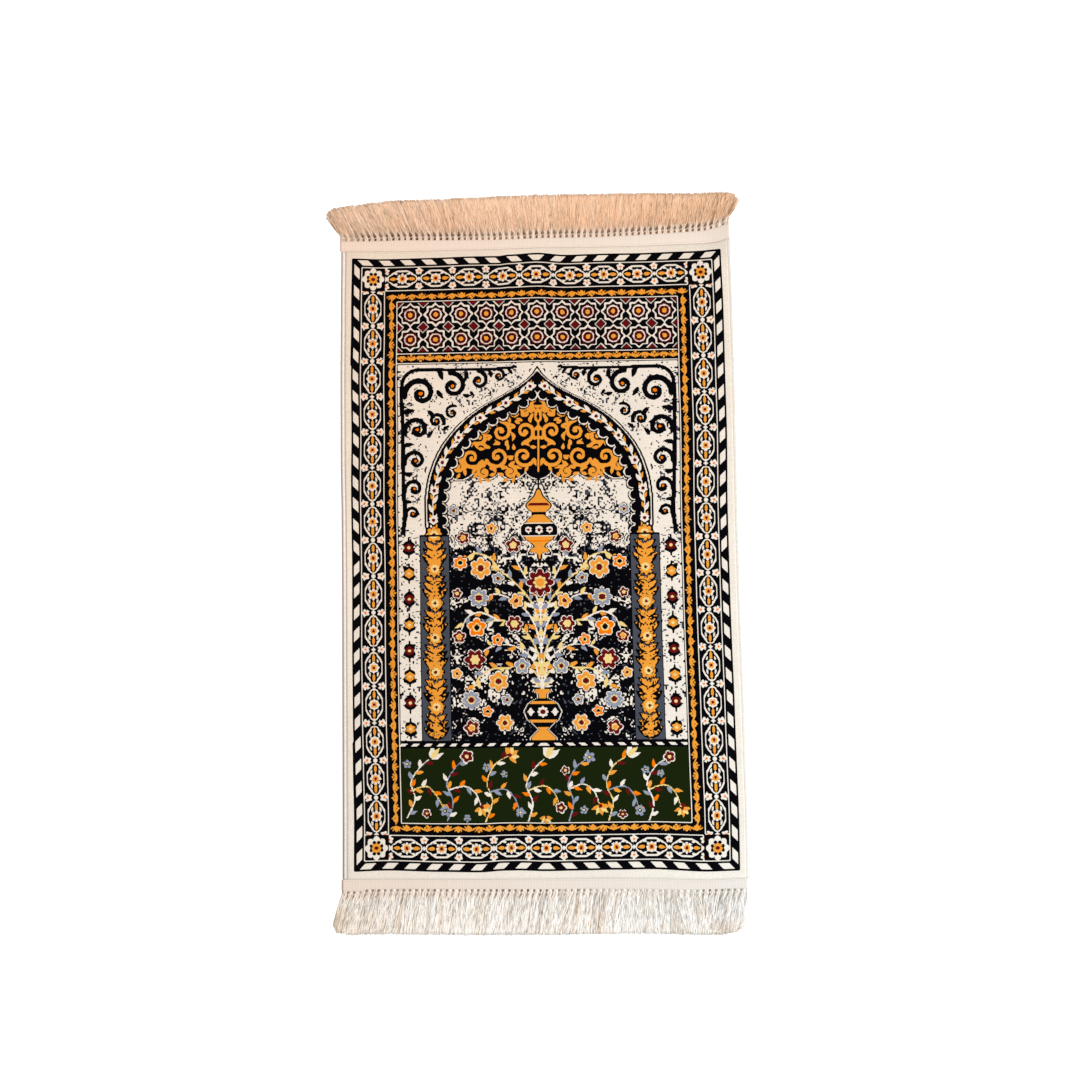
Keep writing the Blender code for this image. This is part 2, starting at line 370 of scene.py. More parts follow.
def resample(outline, spacing, start=0.0):
    """Evenly spaced places along an outline: (u, v, direction in degrees)."""
    points = np.array(curve(outline, 14))
    steps = np.hypot(*np.diff(points, axis=0).T)
    length = np.concatenate(([0], np.cumsum(steps)))
    out = []
    for s in np.arange(start, length[-1], spacing):
        u, v = (np.interp(s, length, points[:, k]) for k in (0, 1))
        ahead = [np.interp(min(s + 1, length[-1]), length, points[:, k]) for k in (0, 1)]
        back = [np.interp(max(s - 1, 0), length, points[:, k]) for k in (0, 1)]
        out.append((u, v, math.degrees(math.atan2(ahead[1] - back[1], ahead[0] - back[0]))))
    return out


# The navy scrolls beside the arch, right half. Columns: eye u, eye v, radius, angle of the outer end,
# turn (1 is anticlockwise), thickness of the line.
SCROLLS = (
    (222, 78, 13, -20, 1, 5.5), (219, 122, 17, -15, 1, 6.5), (217, 172, 20, -15, 1, 7.0),
    (214, 228, 23, -15, 1, 8.0), (207, 293, 30, -10, 1, 9.5), (180, 243, 15, 200, -1, 6.0),
    (150, 306, 24, 80, 1, 8.0), (152, 258, 13, 120, -1, 5.0), (104, 315, 17, 90, 1, 6.5),
    (68, 323, 11, 90, 1, 5.0),
)
STEM = (
    (240, 44), (236, 76), (238, 120), (239, 172), (240, 228), (241, 290), (238, 318), (222, 334),
    (190, 336), (150, 335), (104, 335), (66, 336), (38, 338),
)
# Leaves on the scrolls. Columns: foot u, foot v, length, width, direction, bend.
SCROLL_LEAVES = (
    (236, 98, 14, 7, 170, 2), (237, 147, 16, 8, 165, 3), (238, 199, 18, 9, 160, 3),
    (239, 258, 22, 10, 155, 4), (196, 262, 20, 9, 215, 4), (178, 300, 20, 9, 250, -5),
    (176, 336, 22, 10, 235, 4), (126, 332, 18, 9, 265, 3), (84, 333, 14, 8, 250, 2),
    (196, 214, 16, 8, 120, 3), (133, 290, 16, 7, 200, -3), (52, 336, 14, 6, 230, 0),
    (199, 150, 14, 7, 100, 3), (204, 104, 12, 6, 100, 2), (208, 64, 12, 6, 110, 2),
    (120, 296, 14, 6, 225, 2), (168, 226, 14, 7, 130, 3),
)


def spandrels():
    """The mottled ground above the arch, with navy scrolls and leaves."""
    mottle(ARCH_BOX, 61, lambda u, v: 0.30 + 0 * u)
    line(NAVY, curve(STEM), 8.0, 5.0)
    for u, v, radius, angle, hand, thick in SCROLLS:
        line(NAVY, scroll(u, v, radius, angle, 1.3, hand), thick * 1.15, thick * 0.7)
        disc(NAVY, u, v, thick * 0.8)
        disc(ORANGE, u, v, thick * 0.4)
    for row in SCROLL_LEAVES:
        leaf(NAVY, *row)
    fill(CREAM, ARCH_BOX, lambda u, v: u < within(ARCH_OUTER, v) + 6.0)


def arch():
    """The arch's navy band, with a cream line and a vine of cream and gold leaves."""
    fill(NAVY, ARCH_BOX, lambda u, v: (u < within(ARCH_OUTER, v)) & (u > within(ARCH_INNER, v)))
    fill(CREAM, ARCH_BOX,
         lambda u, v: (u < within(ARCH_OUTER, v) - 3.2) & (u > within(ARCH_OUTER, v) - 5.4) & (v < 334))
    middle = [((a + c) / 2, (b + d) / 2) for (a, b), (c, d) in zip(ARCH_INNER, ARCH_OUTER)]
    for k, (u, v, turn) in enumerate(resample(middle, 17.5, 9)):
        if u < 6:
            continue
        hand = 1 if k % 2 else -1
        back = math.radians(turn)
        leaf(CREAM, u - 5 * math.cos(back), v - 5 * math.sin(back), 17, 6.6, turn + hand * 34, -hand * 3)
        leaf(GOLD, u, v, 12, 5.2, turn - hand * 38, hand * 2)
    line(CREAM, curve(middle)[:-8], 1.9)
    for u, v, turn in resample(middle, 52.5, 26):
        if u > 12:
            petals(CREAM, u, v, 8.4, 6, 0.3, turn)
            disc(MAROON, u, v, 3.4)


HEAD_FOOT = 150.0
HEAD_SCROLLS = (
    (26, 178, 20, 200, 1), (72, 178, 21, -20, -1), (118, 176, 20, 200, 1), (24, 222, 19, -90, -1),
    (66, 222, 19, 90, 1), (104, 214, 14, -60, -1), (40, 256, 14, 200, -1), (14, 262, 9, 0, 1),
    (142, 160, 12, 60, 1), (84, 246, 8, 90, -1), (50, 150, 12, 90, 1), (96, 150, 12, 90, -1),
)


def head_edge(u):
    """Lower, scalloped edge of the gold head of the niche."""
    return HEAD_FOOT - 13.0 * abs(np.cos(math.pi * u / 46.0)) ** 0.7


def niche_head():
    """The gold head of the niche, with scallops along its foot and inside the arch."""
    niche_ground(ARCH_BOX)
    for yarn, above in ((NAVY, -3.4), (CREAM, -1.7), (NAVY, 0.6)):
        fill(yarn, ARCH_BOX, lambda u, v: v > head_edge(u) + above)
    for u, v, radius, angle, hand in HEAD_SCROLLS:
        line(GOLD, scroll(u, v, radius, angle, 1.35, hand), 6.6, 4.6)
        disc(GOLD, u, v, 3.6)
        for k in range(7):
            turn = angle + hand * 48 * k
            foot = math.radians(turn)
            leaf(GOLD, u + radius * math.cos(foot) * 0.96, v + radius * math.sin(foot) * 0.96, 12, 6.2,
                 turn + hand * 40, hand * 2)
    leaf(GOLD, 0, 236, 30, 14, 90)
    leaf(NAVY, 0, 241, 16, 5, 90)
    line(GOLD, [(0, 150), (0, 240)], 4.0)
    for yarn, radius in ((NAVY, 11.8), (CREAM, 9.8), (NAVY, 7.8)):
        for u, v, _ in resample(ARCH_INNER, 21.0, 4.0):
            disc(yarn, u, v, radius)


def mottle(box, seed, shade):
    """Cream stippled with dark knots in drifting streaks; shade(u, v) is the share of dark knots."""
    def density(u, v):
        drift = clouds(u + 0.7 * v, v - 0.5 * u, 30, seed) * 0.55 + clouds(u, v, 11, seed + 1) * 0.45
        streak = np.clip(0.13 - abs(clouds(u - 0.8 * v, v + 0.3 * u, 26, seed + 2) - 0.5), 0, 1) * 2.4
        rest = np.clip(shade(u, v) - 0.5, 0, 1)
        return (np.clip(1.7 * drift - 0.55, 0, 1) + streak) * 1.6 * shade(u, v) + rest

    def stippled(u, v):
        return knot_grain(u, v, seed + 3) < density(u, v)

    def darker(u, v):
        return stippled(u, v) & (knot_grain(u, v, seed + 4) < 0.45 + 0.7 * (shade(u, v) - 0.3))

    block(CREAM, *box)
    fill(SLATE, box, stippled)
    fill(NAVY, box, darker)


# The lamp's and the vase's outlines, right half. Columns: height, half width.
LAMP = (
    (118, 2.0), (112, 5.0), (106, 7.0), (98, 16.0), (90, 22.0), (84, 19.0), (78, 11.0), (72, 10.0),
    (64, 20.0), (52, 29.0), (40, 30.0), (30, 23.0), (22, 12.0), (17, 8.0), (12, 15.0), (8, 17.0),
    (5, 3.0), (-4, 2.0), (-8, 0.0),
)


def turned(yarn, rows, more, middle=0.0, half=1000.0):
    """Fill a turned shape, grown sideways by more, where it is less than half above or below the middle."""
    heights, widths = np.array(rows)[::-1].T
    fill(yarn, (0, 40, rows[-1][0], rows[0][0]),
         lambda u, v: (u < np.interp(v, heights, widths) + more) & (abs(v - middle) < half))


def lamp():
    """A hanging lamp on its chains."""
    line(NAVY, [(0, 148), (0, 112)], 2.4)
    line(NAVY, [(0, 142), (20, 96)], 2.0)
    for yarn, more in ((CREAM, 4.4), (NAVY, 2.4), (GOLD, -0.4)):
        turned(yarn, LAMP, more)
    turned(NAVY, LAMP, 1, 76, 3.0)
    turned(NAVY, LAMP, 1, 47, 11.0)
    for edge in (36, 58):
        turned(CREAM, LAMP, 1, edge, 0.9)
    for u, r in ((0, 8.0), (19, 6.4)):
        petals(CREAM, u, 47, r, 6, 0.35)
        disc(MAROON, u, 47, r * 0.42)
    turned(MAROON, LAMP, -3, 92, 2.6)
    turned(ORANGE, LAMP, -2, 27, 2.0)


VASE = (
    (-232, 13.0), (-236, 15.0), (-240, 8.0), (-247, 8.0), (-256, 24.0), (-270, 32.0), (-284, 27.0),
    (-296, 13.0), (-302, 8.0), (-308, 14.0), (-316, 22.0), (-321, 22.0),
)
# Stems of the bouquet, right half: points along each.
BRANCHES = (
    ((0, -236), (1, -200), (0, -150), (0, -60)),
    ((1, -232), (10, -205), (34, -190), (58, -196), (74, -216)),
    ((1, -228), (16, -180), (50, -156), (88, -158), (112, -176)),
    ((0, -200), (14, -150), (44, -118), (80, -112), (108, -120)),
    ((0, -160), (14, -112), (42, -80), (76, -66), (104, -72)),
    ((0, -120), (16, -80), (44, -46), (70, -26), (98, -22)),
    ((0, -100), (8, -66), (26, -36), (40, -8), (44, 14)),
    ((58, -196), (84, -196), (110, -212), (124, -240)),
    ((74, -112), (104, -98), (128, -106), (140, -130)),
    ((70, -26), (88, -2), (116, 6), (136, -10)),
)
# Blooms. Columns: u, v, radius, petals, yarn, heart yarn, degrees
BLOOMS = (
    (0, -46, 24, 8, MAROON, GOLD, 90), (76, -218, 17, 6, GOLD, MAROON, 90),
    (116, -180, 18, 6, MAROON, STRAW, 60), (112, -124, 16, 5, ORANGE, NAVY, 90),
    (108, -72, 17, 8, MIST, MAROON, 90), (104, -20, 18, 6, GOLD, MAROON, 90),
    (46, 20, 13, 5, MAROON, STRAW, 90), (124, -250, 16, 8, MIST, MAROON, 90),
    (143, -140, 11, 5, MAROON, GOLD, 90), (140, -10, 12, 6, ORANGE, NAVY, 90),
    (34, -192, 13, 5, MIST, MAROON, 20), (46, -118, 14, 6, MAROON, STRAW, 60),
    (42, -78, 12, 5, GOLD, MAROON, 0), (134, 34, 11, 5, MAROON, GOLD, 0),
    (124, -298, 13, 5, MAROON, GOLD, 0), (66, -290, 14, 6, GOLD, MAROON, 0),
    (96, -270, 9, 5, ORANGE, NAVY, 30), (148, -204, 9, 5, GOLD, MAROON, 30),
    (74, -38, 10, 5, MIST, MAROON, 30), (76, -146, 10, 5, ORANGE, NAVY, 30),
    (84, 50, 10, 5, GOLD, MAROON, 30), (146, -64, 8, 5, MAROON, STRAW, 30),
    (150, 82, 9, 6, MIST, MAROON, 30), (62, -250, 9, 5, MIST, MAROON, 30),
)
LEAF_YARNS = (MIST, STRAW, GOLD, CREAM)


def leafy(points, spacing, size, yarns, start=8.0):
    """Leaves by turns to the left and right along a stem."""
    for k, (u, v, turn) in enumerate(resample(points, spacing, start)):
        hand = 1 if k % 2 else -1
        leaf(yarns[k % len(yarns)], u, v, size, size * 0.44, turn + hand * 52, -hand * size * 0.15)


def bouquet():
    """A vase of flowers on the stippled ground."""
    for k, points in enumerate(BRANCHES):
        line(STRAW if k % 2 else CREAM, curve(points), 3.4, 2.2)
        leafy(points, 13.0, 16.0, LEAF_YARNS[k % 2:] + LEAF_YARNS[:k % 2])
    for u, v, radius, count, yarn, heart, turn in BLOOMS:
        petals(NAVY, u, v, radius + 3.6, count, 0.25, turn)
        petals(CREAM, u, v, radius + 1.8, count, 0.3, turn)
        petals(yarn, u, v, radius, count, 0.36, turn)
        petals(STRAW if yarn != STRAW else CREAM, u, v, radius * 0.52, count, 0.3, turn)
        disc(heart, u, v, radius * 0.32)
    for yarn, more in ((NAVY, 3.6), (CREAM, 2.0), (NAVY, 0.3)):
        turned(yarn, VASE, more)
    for height, half in ((-198, 50), (-348, 50), (-256, 2.4), (-287, 2.4)):
        turned(GOLD, VASE, -1.3, height, half)
    petals(CREAM, 0, -271, 10, 8, 0.3)
    disc(MAROON, 0, -271, 4.6)
    diamond(CREAM, 21, -271, 6, 8)


STRIP_FOOT = -322.0
STRIP_IN = 158.0
STRIP_OUT = 212.0


def garland_strip():
    """A gold garland of leaf pairs and rosettes on slate, shaded with dark knots."""
    block(NAVY, STRIP_IN, STRIP_OUT, STRIP_FOOT, ARCH_FOOT)
    block(SLATE, STRIP_IN + 2.6, STRIP_OUT - 2.6, STRIP_FOOT, ARCH_FOOT)
    middle = (STRIP_IN + STRIP_OUT) / 2
    count = 6
    pitch = (ARCH_FOOT - STRIP_FOOT) / count
    for k in range(count):
        foot = STRIP_FOOT + k * pitch
        for step in range(3):
            base = foot + 6 + step * pitch * 0.23
            for hand in (-1, 1):
                for yarn, more in ((NAVY, 2.2), (GOLD, 0.0)):
                    length, width = 27 - 3 * step + 2 * more, 11 - step + 1.4 * more
                    leaf(yarn, middle + hand * 1.0, base - more, length, width, 90 - hand * 36, -hand * 5)
        leaf(GOLD, middle, foot + 2, pitch * 0.72, 8, 90)
        petals(NAVY, middle, foot + pitch, 17, 8, 0.24)
    for k in range(1, count + 1):
        petals(GOLD, middle, STRIP_FOOT + k * pitch, 14.6, 8, 0.28)
        petals(STRAW, middle, STRIP_FOOT + k * pitch, 8.0, 8, 0.28, 90 + 22.5)
        disc(MAROON, middle, STRIP_FOOT + k * pitch, 3.2)

    u, v, part = window(STRIP_IN, STRIP_OUT, STRIP_FOOT, ARCH_FOOT)
    depth = 0.10 + np.clip(abs(u - middle) / 22 - 0.25, 0, 0.5) + 0.3 * (clouds(u, v, 16, 7) - 0.4)
    part[(part == GOLD) & (knot_grain(u, v, 11) < depth)] = NAVY
    block(NAVY, STRIP_IN, STRIP_OUT, ARCH_FOOT - 2.4, ARCH_FOOT)


def side_panel():
    """A mottled strip with a chain of small sprigs."""
    middle = (STRIP_OUT + FIELD_W) / 2
    mottle((STRIP_OUT, FIELD_W, STRIP_FOOT, ARCH_FOOT), 71, lambda u, v: 0.24 + 0 * u)
    count = 8
    pitch = (ARCH_FOOT - STRIP_FOOT) / count
    for k in range(count):
        v = STRIP_FOOT + (k + 0.5) * pitch
        for hand in (-1, 1):
            leaf(NAVY, middle, v - 12, 15, 6, 90 - hand * 50, -hand * 2)
            leaf(NAVY, middle, v + 12, 12, 5, 90 - hand * 130, hand * 2)
        line(NAVY, [(middle, v - 18), (middle, v + 18)], 2.2)
        petals(NAVY, middle, v, 10.4, 6, 0.3)
        petals(MAROON if k % 2 else GOLD, middle, v, 8.4, 6, 0.3)
        disc(STRAW, middle, v, 2.8)


# The flower ground at the foot: points along each stem.
MEADOW_STEMS = (
    ((-240, -452), (-226, -420), (-232, -392), (-218, -368), (-200, -352)),
    ((-232, -406), (-206, -398), (-190, -412), (-176, -436)),
    ((-170, -456), (-160, -424), (-170, -394), (-156, -368), (-138, -350)),
    ((-166, -404), (-140, -398), (-122, -408), (-112, -430)),
    ((-104, -458), (-92, -424), (-100, -392), (-86, -362), (-64, -348)),
    ((-96, -408), (-70, -404), (-54, -418), (-46, -440)),
    ((-30, -458), (-22, -428), (-32, -398), (-20, -372), (0, -352)),
    ((-28, -406), (-4, -398), (14, -408), (24, -432)),
    ((40, -458), (48, -426), (40, -396), (54, -368), (74, -352)),
    ((42, -404), (66, -396), (84, -408), (92, -430)),
    ((108, -458), (116, -426), (106, -396), (118, -366), (140, -350)),
    ((110, -406), (136, -400), (152, -414), (160, -438)),
    ((178, -458), (186, -428), (176, -396), (190, -368), (212, -352)),
    ((180, -406), (204, -398), (222, -408), (232, -434)),
)
# Blooms. Columns: u, v, size, direction, kind
MEADOW_BLOOMS = (
    (-196, -350, 12, 50, "tulip"), (-174, -440, 10, -60, "star"), (-134, -347, 12, 40, "rose"),
    (-110, -434, 11, -70, "lily"), (-60, -346, 12, 30, "lily"), (-44, -444, 9, -70, "star"),
    (4, -350, 14, 60, "tulip"), (26, -436, 10, -70, "rose"), (78, -350, 11, 40, "star"),
    (94, -434, 11, -80, "lily"), (144, -348, 12, 40, "tulip"), (162, -442, 10, -70, "star"),
    (216, -350, 11, 40, "rose"), (234, -438, 10, -80, "lily"), (-238, -360, 8, 90, "star"),
    (-100, -366, 8, 120, "star"), (36, -372, 8, 110, "rose"), (174, -372, 8, 100, "star"),
    (-206, -444, 8, -90, "rose"), (-70, -378, 7, 30, "star"), (66, -440, 8, -60, "star"),
    (132, -448, 8, -90, "rose"), (-136, -452, 7, -90, "star"), (0, -452, 8, -90, "lily"),
    (200, -378, 7, 60, "star"),
)


def bloom(u, v, size, degrees, kind):
    """One flower of the ground at the foot."""
    if kind == "tulip":
        for swing, yarn in ((-38, CREAM), (38, CREAM), (0, STRAW)):
            leaf(yarn, u, v, size * 1.9, size * 0.75, degrees + swing, -swing * 0.10)
    elif kind == "lily":
        for k in range(5):
            leaf(STRAW if k % 2 else GOLD, u, v, size * 1.5, size * 0.7, degrees - 80 + 40 * k)
        disc(MAROON, u, v, size * 0.3)
    elif kind == "rose":
        petals(CREAM, u, v, size * 1.05, 5, 0.3, degrees)
        petals(MAROON, u, v, size * 0.86, 5, 0.3, degrees)
        disc(STRAW, u, v, size * 0.3)
    else:
        petals(MIST, u, v, size, 5, 0.5, degrees)
        disc(NAVY, u, v, size * 0.34)
        disc(STRAW, u, v, size * 0.2)


def meadow():
    """The flower ground, and the striped bar above it."""
    block(GREEN, -FIELD_W, FIELD_W, -FIELD_L, STRIP_FOOT)
    leaf_yarns = (MIST, GOLD, CREAM, MAROON, ORANGE)
    for k, points in enumerate(MEADOW_STEMS):
        path = curve(points)
        line((CREAM, STRAW, MIST)[k % 3], path, 2.6, 1.8)
        leafy(points, 12.5, 15.0, leaf_yarns[k % 5:] + leaf_yarns[:k % 5])
    for row in MEADOW_BLOOMS:
        bloom(*row)
    block(NAVY, -FIELD_W, FIELD_W, STRIP_FOOT - 11, STRIP_FOOT + 1.7)
    period = 22.0
    fill(CREAM, (-FIELD_W, FIELD_W, STRIP_FOOT - 8.4, STRIP_FOOT - 3),
         lambda u, v: (abs(u) + v) % period < period / 2)


def niche_ground(box):
    """Pale and stippled under the arch, and darker towards the foot."""
    mottle(box, 3, lambda u, v: np.clip(0.34 + (96 - v) / 170, 0.34, 1.0))


def draw_chart():
    """Draw the whole design; what lies between the foot and the star panel is drawn once and mirrored."""
    guards()
    main_border()
    inner_guard()
    block(NAVY, -FIELD_W, FIELD_W, -FIELD_L, FIELD_L)
    star_panel(-FIELD_W, FIELD_W, STAR_FOOT, FIELD_L, STAR_TILE, FIELD_L - STAR_TILE / 2)
    gold_vine(FIELD_W, (STAR_FOOT + BAND_FOOT) / 2, True, 34.0, 6.4)
    for foot in (STAR_FOOT - 3.4, BAND_FOOT + 1.7):
        block(CREAM, -FIELD_W, FIELD_W, foot, foot + 1.7)
    spandrels()
    keep = chart.copy()
    niche_head()
    u, v = np.meshgrid(column_mm, row_mm)
    outside = (v < ARCH_FOOT) | (v > BAND_FOOT) | (abs(u) > within(ARCH_OUTER, v))
    chart[outside] = keep[outside]
    arch()
    niche_ground((0, STRIP_IN, STRIP_FOOT, ARCH_FOOT))
    lamp()
    bouquet()
    garland_strip()
    side_panel()
    meadow()
    mirror(STRIP_FOOT, BAND_FOOT)


# ---- colours -------------------------------------------------------------------------------------
# Screen colours of the yarns, from cream to mist.
YARN_COLOURS = (
    (250, 246, 236), (6, 6, 11), (248, 168, 62), (255, 134, 6), (25, 36, 10),
    (106, 17, 22), (76, 82, 94), (250, 226, 150), (150, 162, 184),
)
# Screen colours at the corners of the whole rug: foot left, foot right, niche left, niche right.
# They carry painted light on the yarns' own colours: warmer towards the niche end and the left.
CREAM_CORNERS = ((237, 226, 212), (238, 234, 224), (241, 217, 195), (241, 227, 211))
RIB_CORNERS = ((244, 238, 230), (248, 245, 240), (248, 234, 220), (248, 239, 229))
TAPE_CORNERS = ((238, 219, 203), (231, 226, 219), (246, 218, 196), (245, 229, 214))
YARN_CORNERS = ((253, 247, 240), (245, 244, 242), (252, 216, 187), (251, 209, 172))
ACCENT_YARNS = ((222, 202, 179), (236, 188, 150))        # the odd darker yarn, at the foot and niche end
# The low threads in the gaps are coloured dark brown as painted shade.
GAP_SHADE_THREADS = ((96, 68, 50), (100, 62, 40))      # threads low in the gaps, at the foot and niche end
BACK_YARN = (214, 196, 170)
# The tints below colour painted shadow and shade: on the rug's left edge, and on each rib.
EDGE_SHADOW_TINT = (0.9, 1.1, 1.05)         # what the left edge's shade takes from red, green and blue
RIB_SHADE_TINTS = (EDGE_SHADOW_TINT, (1.1, 0.95, 0.9))        # the same for each rib
LIGHT = 1.28                 # how bright the studio is; screen colours allow for it, loose yarns gain by it


def linear(colour):
    """Screen colour, 0 to 255, as the linear numbers that shaders use."""
    share = np.array(colour, float) / 255
    return np.where(share <= 0.04045, share / 12.92, ((share + 0.055) / 1.055) ** 2.4) / LIGHT


# ---- the cloth's place, from the frame -----------------------------------------------------------
RUG_WIDTH = 0.700
RUG_LENGTH = 1.111
END_SKEW = -0.0053           # rise of both ends from the left side to the right side
RIB_WIDTHS = (0.0090, 0.0050)     # at the left and the right side
RIB_HEIGHT = 0.0038
PILE_INSETS = (0.0084, 0.0043)    # from the rug's left and right side to the pile
CLOTH_TOP = 0.0024           # top of the woven ground that the pile stands on
SHOULDER = 3.6               # millimetres over which the pile rises from its edge
TAPE_WIDTH = 0.0178
TAPE_PAST_LEFT = 0.0015      # how far the tapes pass the rug's sides
TAPE_PAST_RIGHT = -0.0025
GAP = 0.0003                 # between the cloth and each tape
TASSELS = 65                 # at each end
TAPE_LEFT = -RUG_WIDTH / 2 - TAPE_PAST_LEFT
TAPE_LENGTH = RUG_WIDTH + TAPE_PAST_LEFT + TAPE_PAST_RIGHT
TASSEL_PITCH = TAPE_LENGTH / TASSELS
END_REACH = 0.022            # how far the course of a tape's edge is felt in the cloth

# The tables below are in tenths of a millimetre, and shares in hundredths, or thousandths for the fringes.
# How far each tape strays outwards. Columns: tassels from the left side, inner edge, outer edge.
TOP_TAPE = np.array((
    (0, -6, 8), (5, -14, -2), (11, -25, 6), (18, -16, -8), (26, -16, -18), (34, 0, 1), (43, -11, -4),
    (51, -5, 24), (57, 12, 54), (61, 18, 78), (63, 45, 132), (65, 111, 205), (67, 177, 278),
)) / (1, 10000, 10000)
FOOT_TAPE = np.array((
    (0, 26, 48), (3, 22, 48), (4, 20, 16), (10, 21, 10), (18, 28, 16), (26, 24, 18), (33, 24, 22),
    (42, 15, 12), (50, 22, 26), (55, 36, 38), (59, 46, 26), (63, 24, 16), (65, 19, 14), (67, 14, 12),
)) / (1, 10000, 10000)
# How far each long side strays outwards. Columns: share of the length, left side, right side.
SIDE_DRIFT = np.array((
    (0, 2, 8), (10, -1, 16), (24, -2, 8), (44, -4, -12), (56, 0, -13), (66, 13, -6), (78, 13, 2),
    (90, 3, -3), (100, -9, -14),
)) / (100, 10000, 10000)
# How far the woven lines stray up the rug. Columns: share of the width, at the foot end, at the niche end.
WEAVE_DRIFT = np.array((
    (0, -15, -11), (10, 8, -40), (24, -20, -31), (33, -31, -16), (40, 0, -18), (43, 3, 5),
    (50, -12, 29), (58, -3, -23), (68, 10, -12), (76, 18, -16), (90, -26, -2), (100, -10, 33),
)) / (100, 10000, 10000)
# How far the woven lines stray to the right. Columns: share of the length, at the left, at the right side.
ASIDE_DRIFT = np.array((
    (0, 6, 20), (9, 9, 20), (18, -8, 11), (25, -22, 6), (36, -30, 2), (49, -25, -1), (58, -33, -1),
    (70, -13, 15), (78, -19, 6), (88, -5, 11), (100, 3, 0),
)) / (100, 10000, 10000)
# How each fringe lies. Columns: share of the width, lean of the tips to the right, reach past the rug's end.
TOP_FRINGE = np.array((
    (0, -240, 645), (4, -245, 722), (12, -280, 775), (30, -320, 818), (70, -310, 855), (120, -290, 892),
    (170, -285, 936), (210, -245, 940), (260, -215, 944), (310, -140, 950), (360, -140, 960),
    (460, -160, 983), (510, -70, 986), (560, 20, 988), (660, 35, 980), (700, 90, 979), (800, 85, 977),
    (880, 120, 955), (940, 150, 960), (970, 180, 966), (985, 190, 938), (995, 195, 875),
    (1000, 190, 830),
)) / (1000, 10000, 10000)
FOOT_FRINGE = np.array((
    (0, -130, 830), (10, -145, 935), (40, -120, 976), (100, -170, 966), (160, -175, 967),
    (210, -60, 975), (260, -50, 978), (320, -110, 980), (400, -135, 980), (500, -115, 979),
    (560, -135, 978), (620, -70, 968), (690, -95, 964), (740, -60, 962), (800, 40, 972),
    (850, 110, 980), (885, 40, 983), (920, -140, 982), (950, -190, 980), (985, -90, 945),
    (1000, -60, 880),
)) / (1000, 10000, 10000)


def read_table(rows, share, column):
    """Values of a column at shares of the first column, eased between rows."""
    share = np.clip(share, 0, 1)
    index = np.clip(np.searchsorted(rows[:, 0], share) - 1, 0, len(rows) - 2)
    low, high = rows[index], rows[index + 1]
    step = (share - low[..., 0]) / (high[..., 0] - low[..., 0])
    eased = step * step * (3 - 2 * step)
    return low[..., column] + (high[..., column] - low[..., column]) * eased


def pick(side, pair):
    """One of a pair: the first at the foot or left (-1), the second at the niche end or right (1)."""
    return pair[int(side > 0)]


def tape_drift(x, end, across):
    """How far a tape strays outwards at an X from the rug's middle; across as in tape_y."""
    rows = pick(end, (FOOT_TAPE, TOP_TAPE))
    tassel = (x - TAPE_LEFT) / TASSEL_PITCH
    inner, outer = (np.interp(tassel, rows[:, 0], rows[:, column]) for column in (1, 2))
    return inner + (outer - inner) * across


def straight_end(x, end):
    """Y from the rug's middle of the line that the rug's foot (-1) or niche (1) end keeps to."""
    return end * RUG_LENGTH / 2 + END_SKEW * x / RUG_WIDTH


def side_x(share, side):
    """X of the rug's left (-1) or right (1) side from its middle, at a share of its length."""
    return side * (RUG_WIDTH / 2 + read_table(SIDE_DRIFT, share, pick(side, (1, 2))))


rug_low, rug_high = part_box("rug")
top_corner = side_x(1.0, 1)
MIDDLE_X = rug_low.x + RUG_WIDTH / 2 + SIDE_DRIFT[:, 1].max()
MIDDLE_Y = rug_high.y - straight_end(top_corner, 1) - tape_drift(top_corner, 1, 0)
PILE_TOP = rug_high.z


def cloth_y(x, up):
    """Y of the cloth at an X from the rug's middle, a share of the way up; its ends follow the tapes."""
    foot, head = straight_end(x, -1), straight_end(x, 1)
    near = [np.clip(1 - share * RUG_LENGTH / END_REACH, 0, 1) ** 2 for share in (up, 1 - up)]
    strays = tape_drift(x, 1, 0) * near[1] - tape_drift(x, -1, 0) * near[0]
    return MIDDLE_Y + foot + (head - foot) * up + strays


def tape_y(x, end, across):
    """Y of a tape at an X from the rug's middle, across from its inner (0) to its outer (1) edge."""
    return MIDDLE_Y + straight_end(x, end) + end * (GAP + TAPE_WIDTH * across + tape_drift(x, end, across))


def place(across, up, insets=(0.0, 0.0)):
    """X and Y of points given as shares of the width and length between the rug's edges."""
    left = side_x(up, -1) + insets[0]
    right = side_x(up, 1) - insets[1]
    x = left + (right - left) * across
    return MIDDLE_X + x, cloth_y(x, up)


def corner_colours(corners, u, v):
    """Linear colours between the four corners' screen colours, at u and v from -1 to 1."""
    foot_left, foot_right, top_left, top_right = linear(corners)
    right, up = (np.clip(np.asarray(value)[..., None] / 2 + 0.5, 0, 1) for value in (u, v))
    return (foot_left * (1 - right) + foot_right * right) * (1 - up) + (
        top_left * (1 - right) + top_right * right) * up


# ---- meshes --------------------------------------------------------------------------------------
def show(name, data):
    """A new object of the scene."""
    thing = bpy.data.objects.new(name, data)
    bpy.context.scene.collection.objects.link(thing)
    return thing


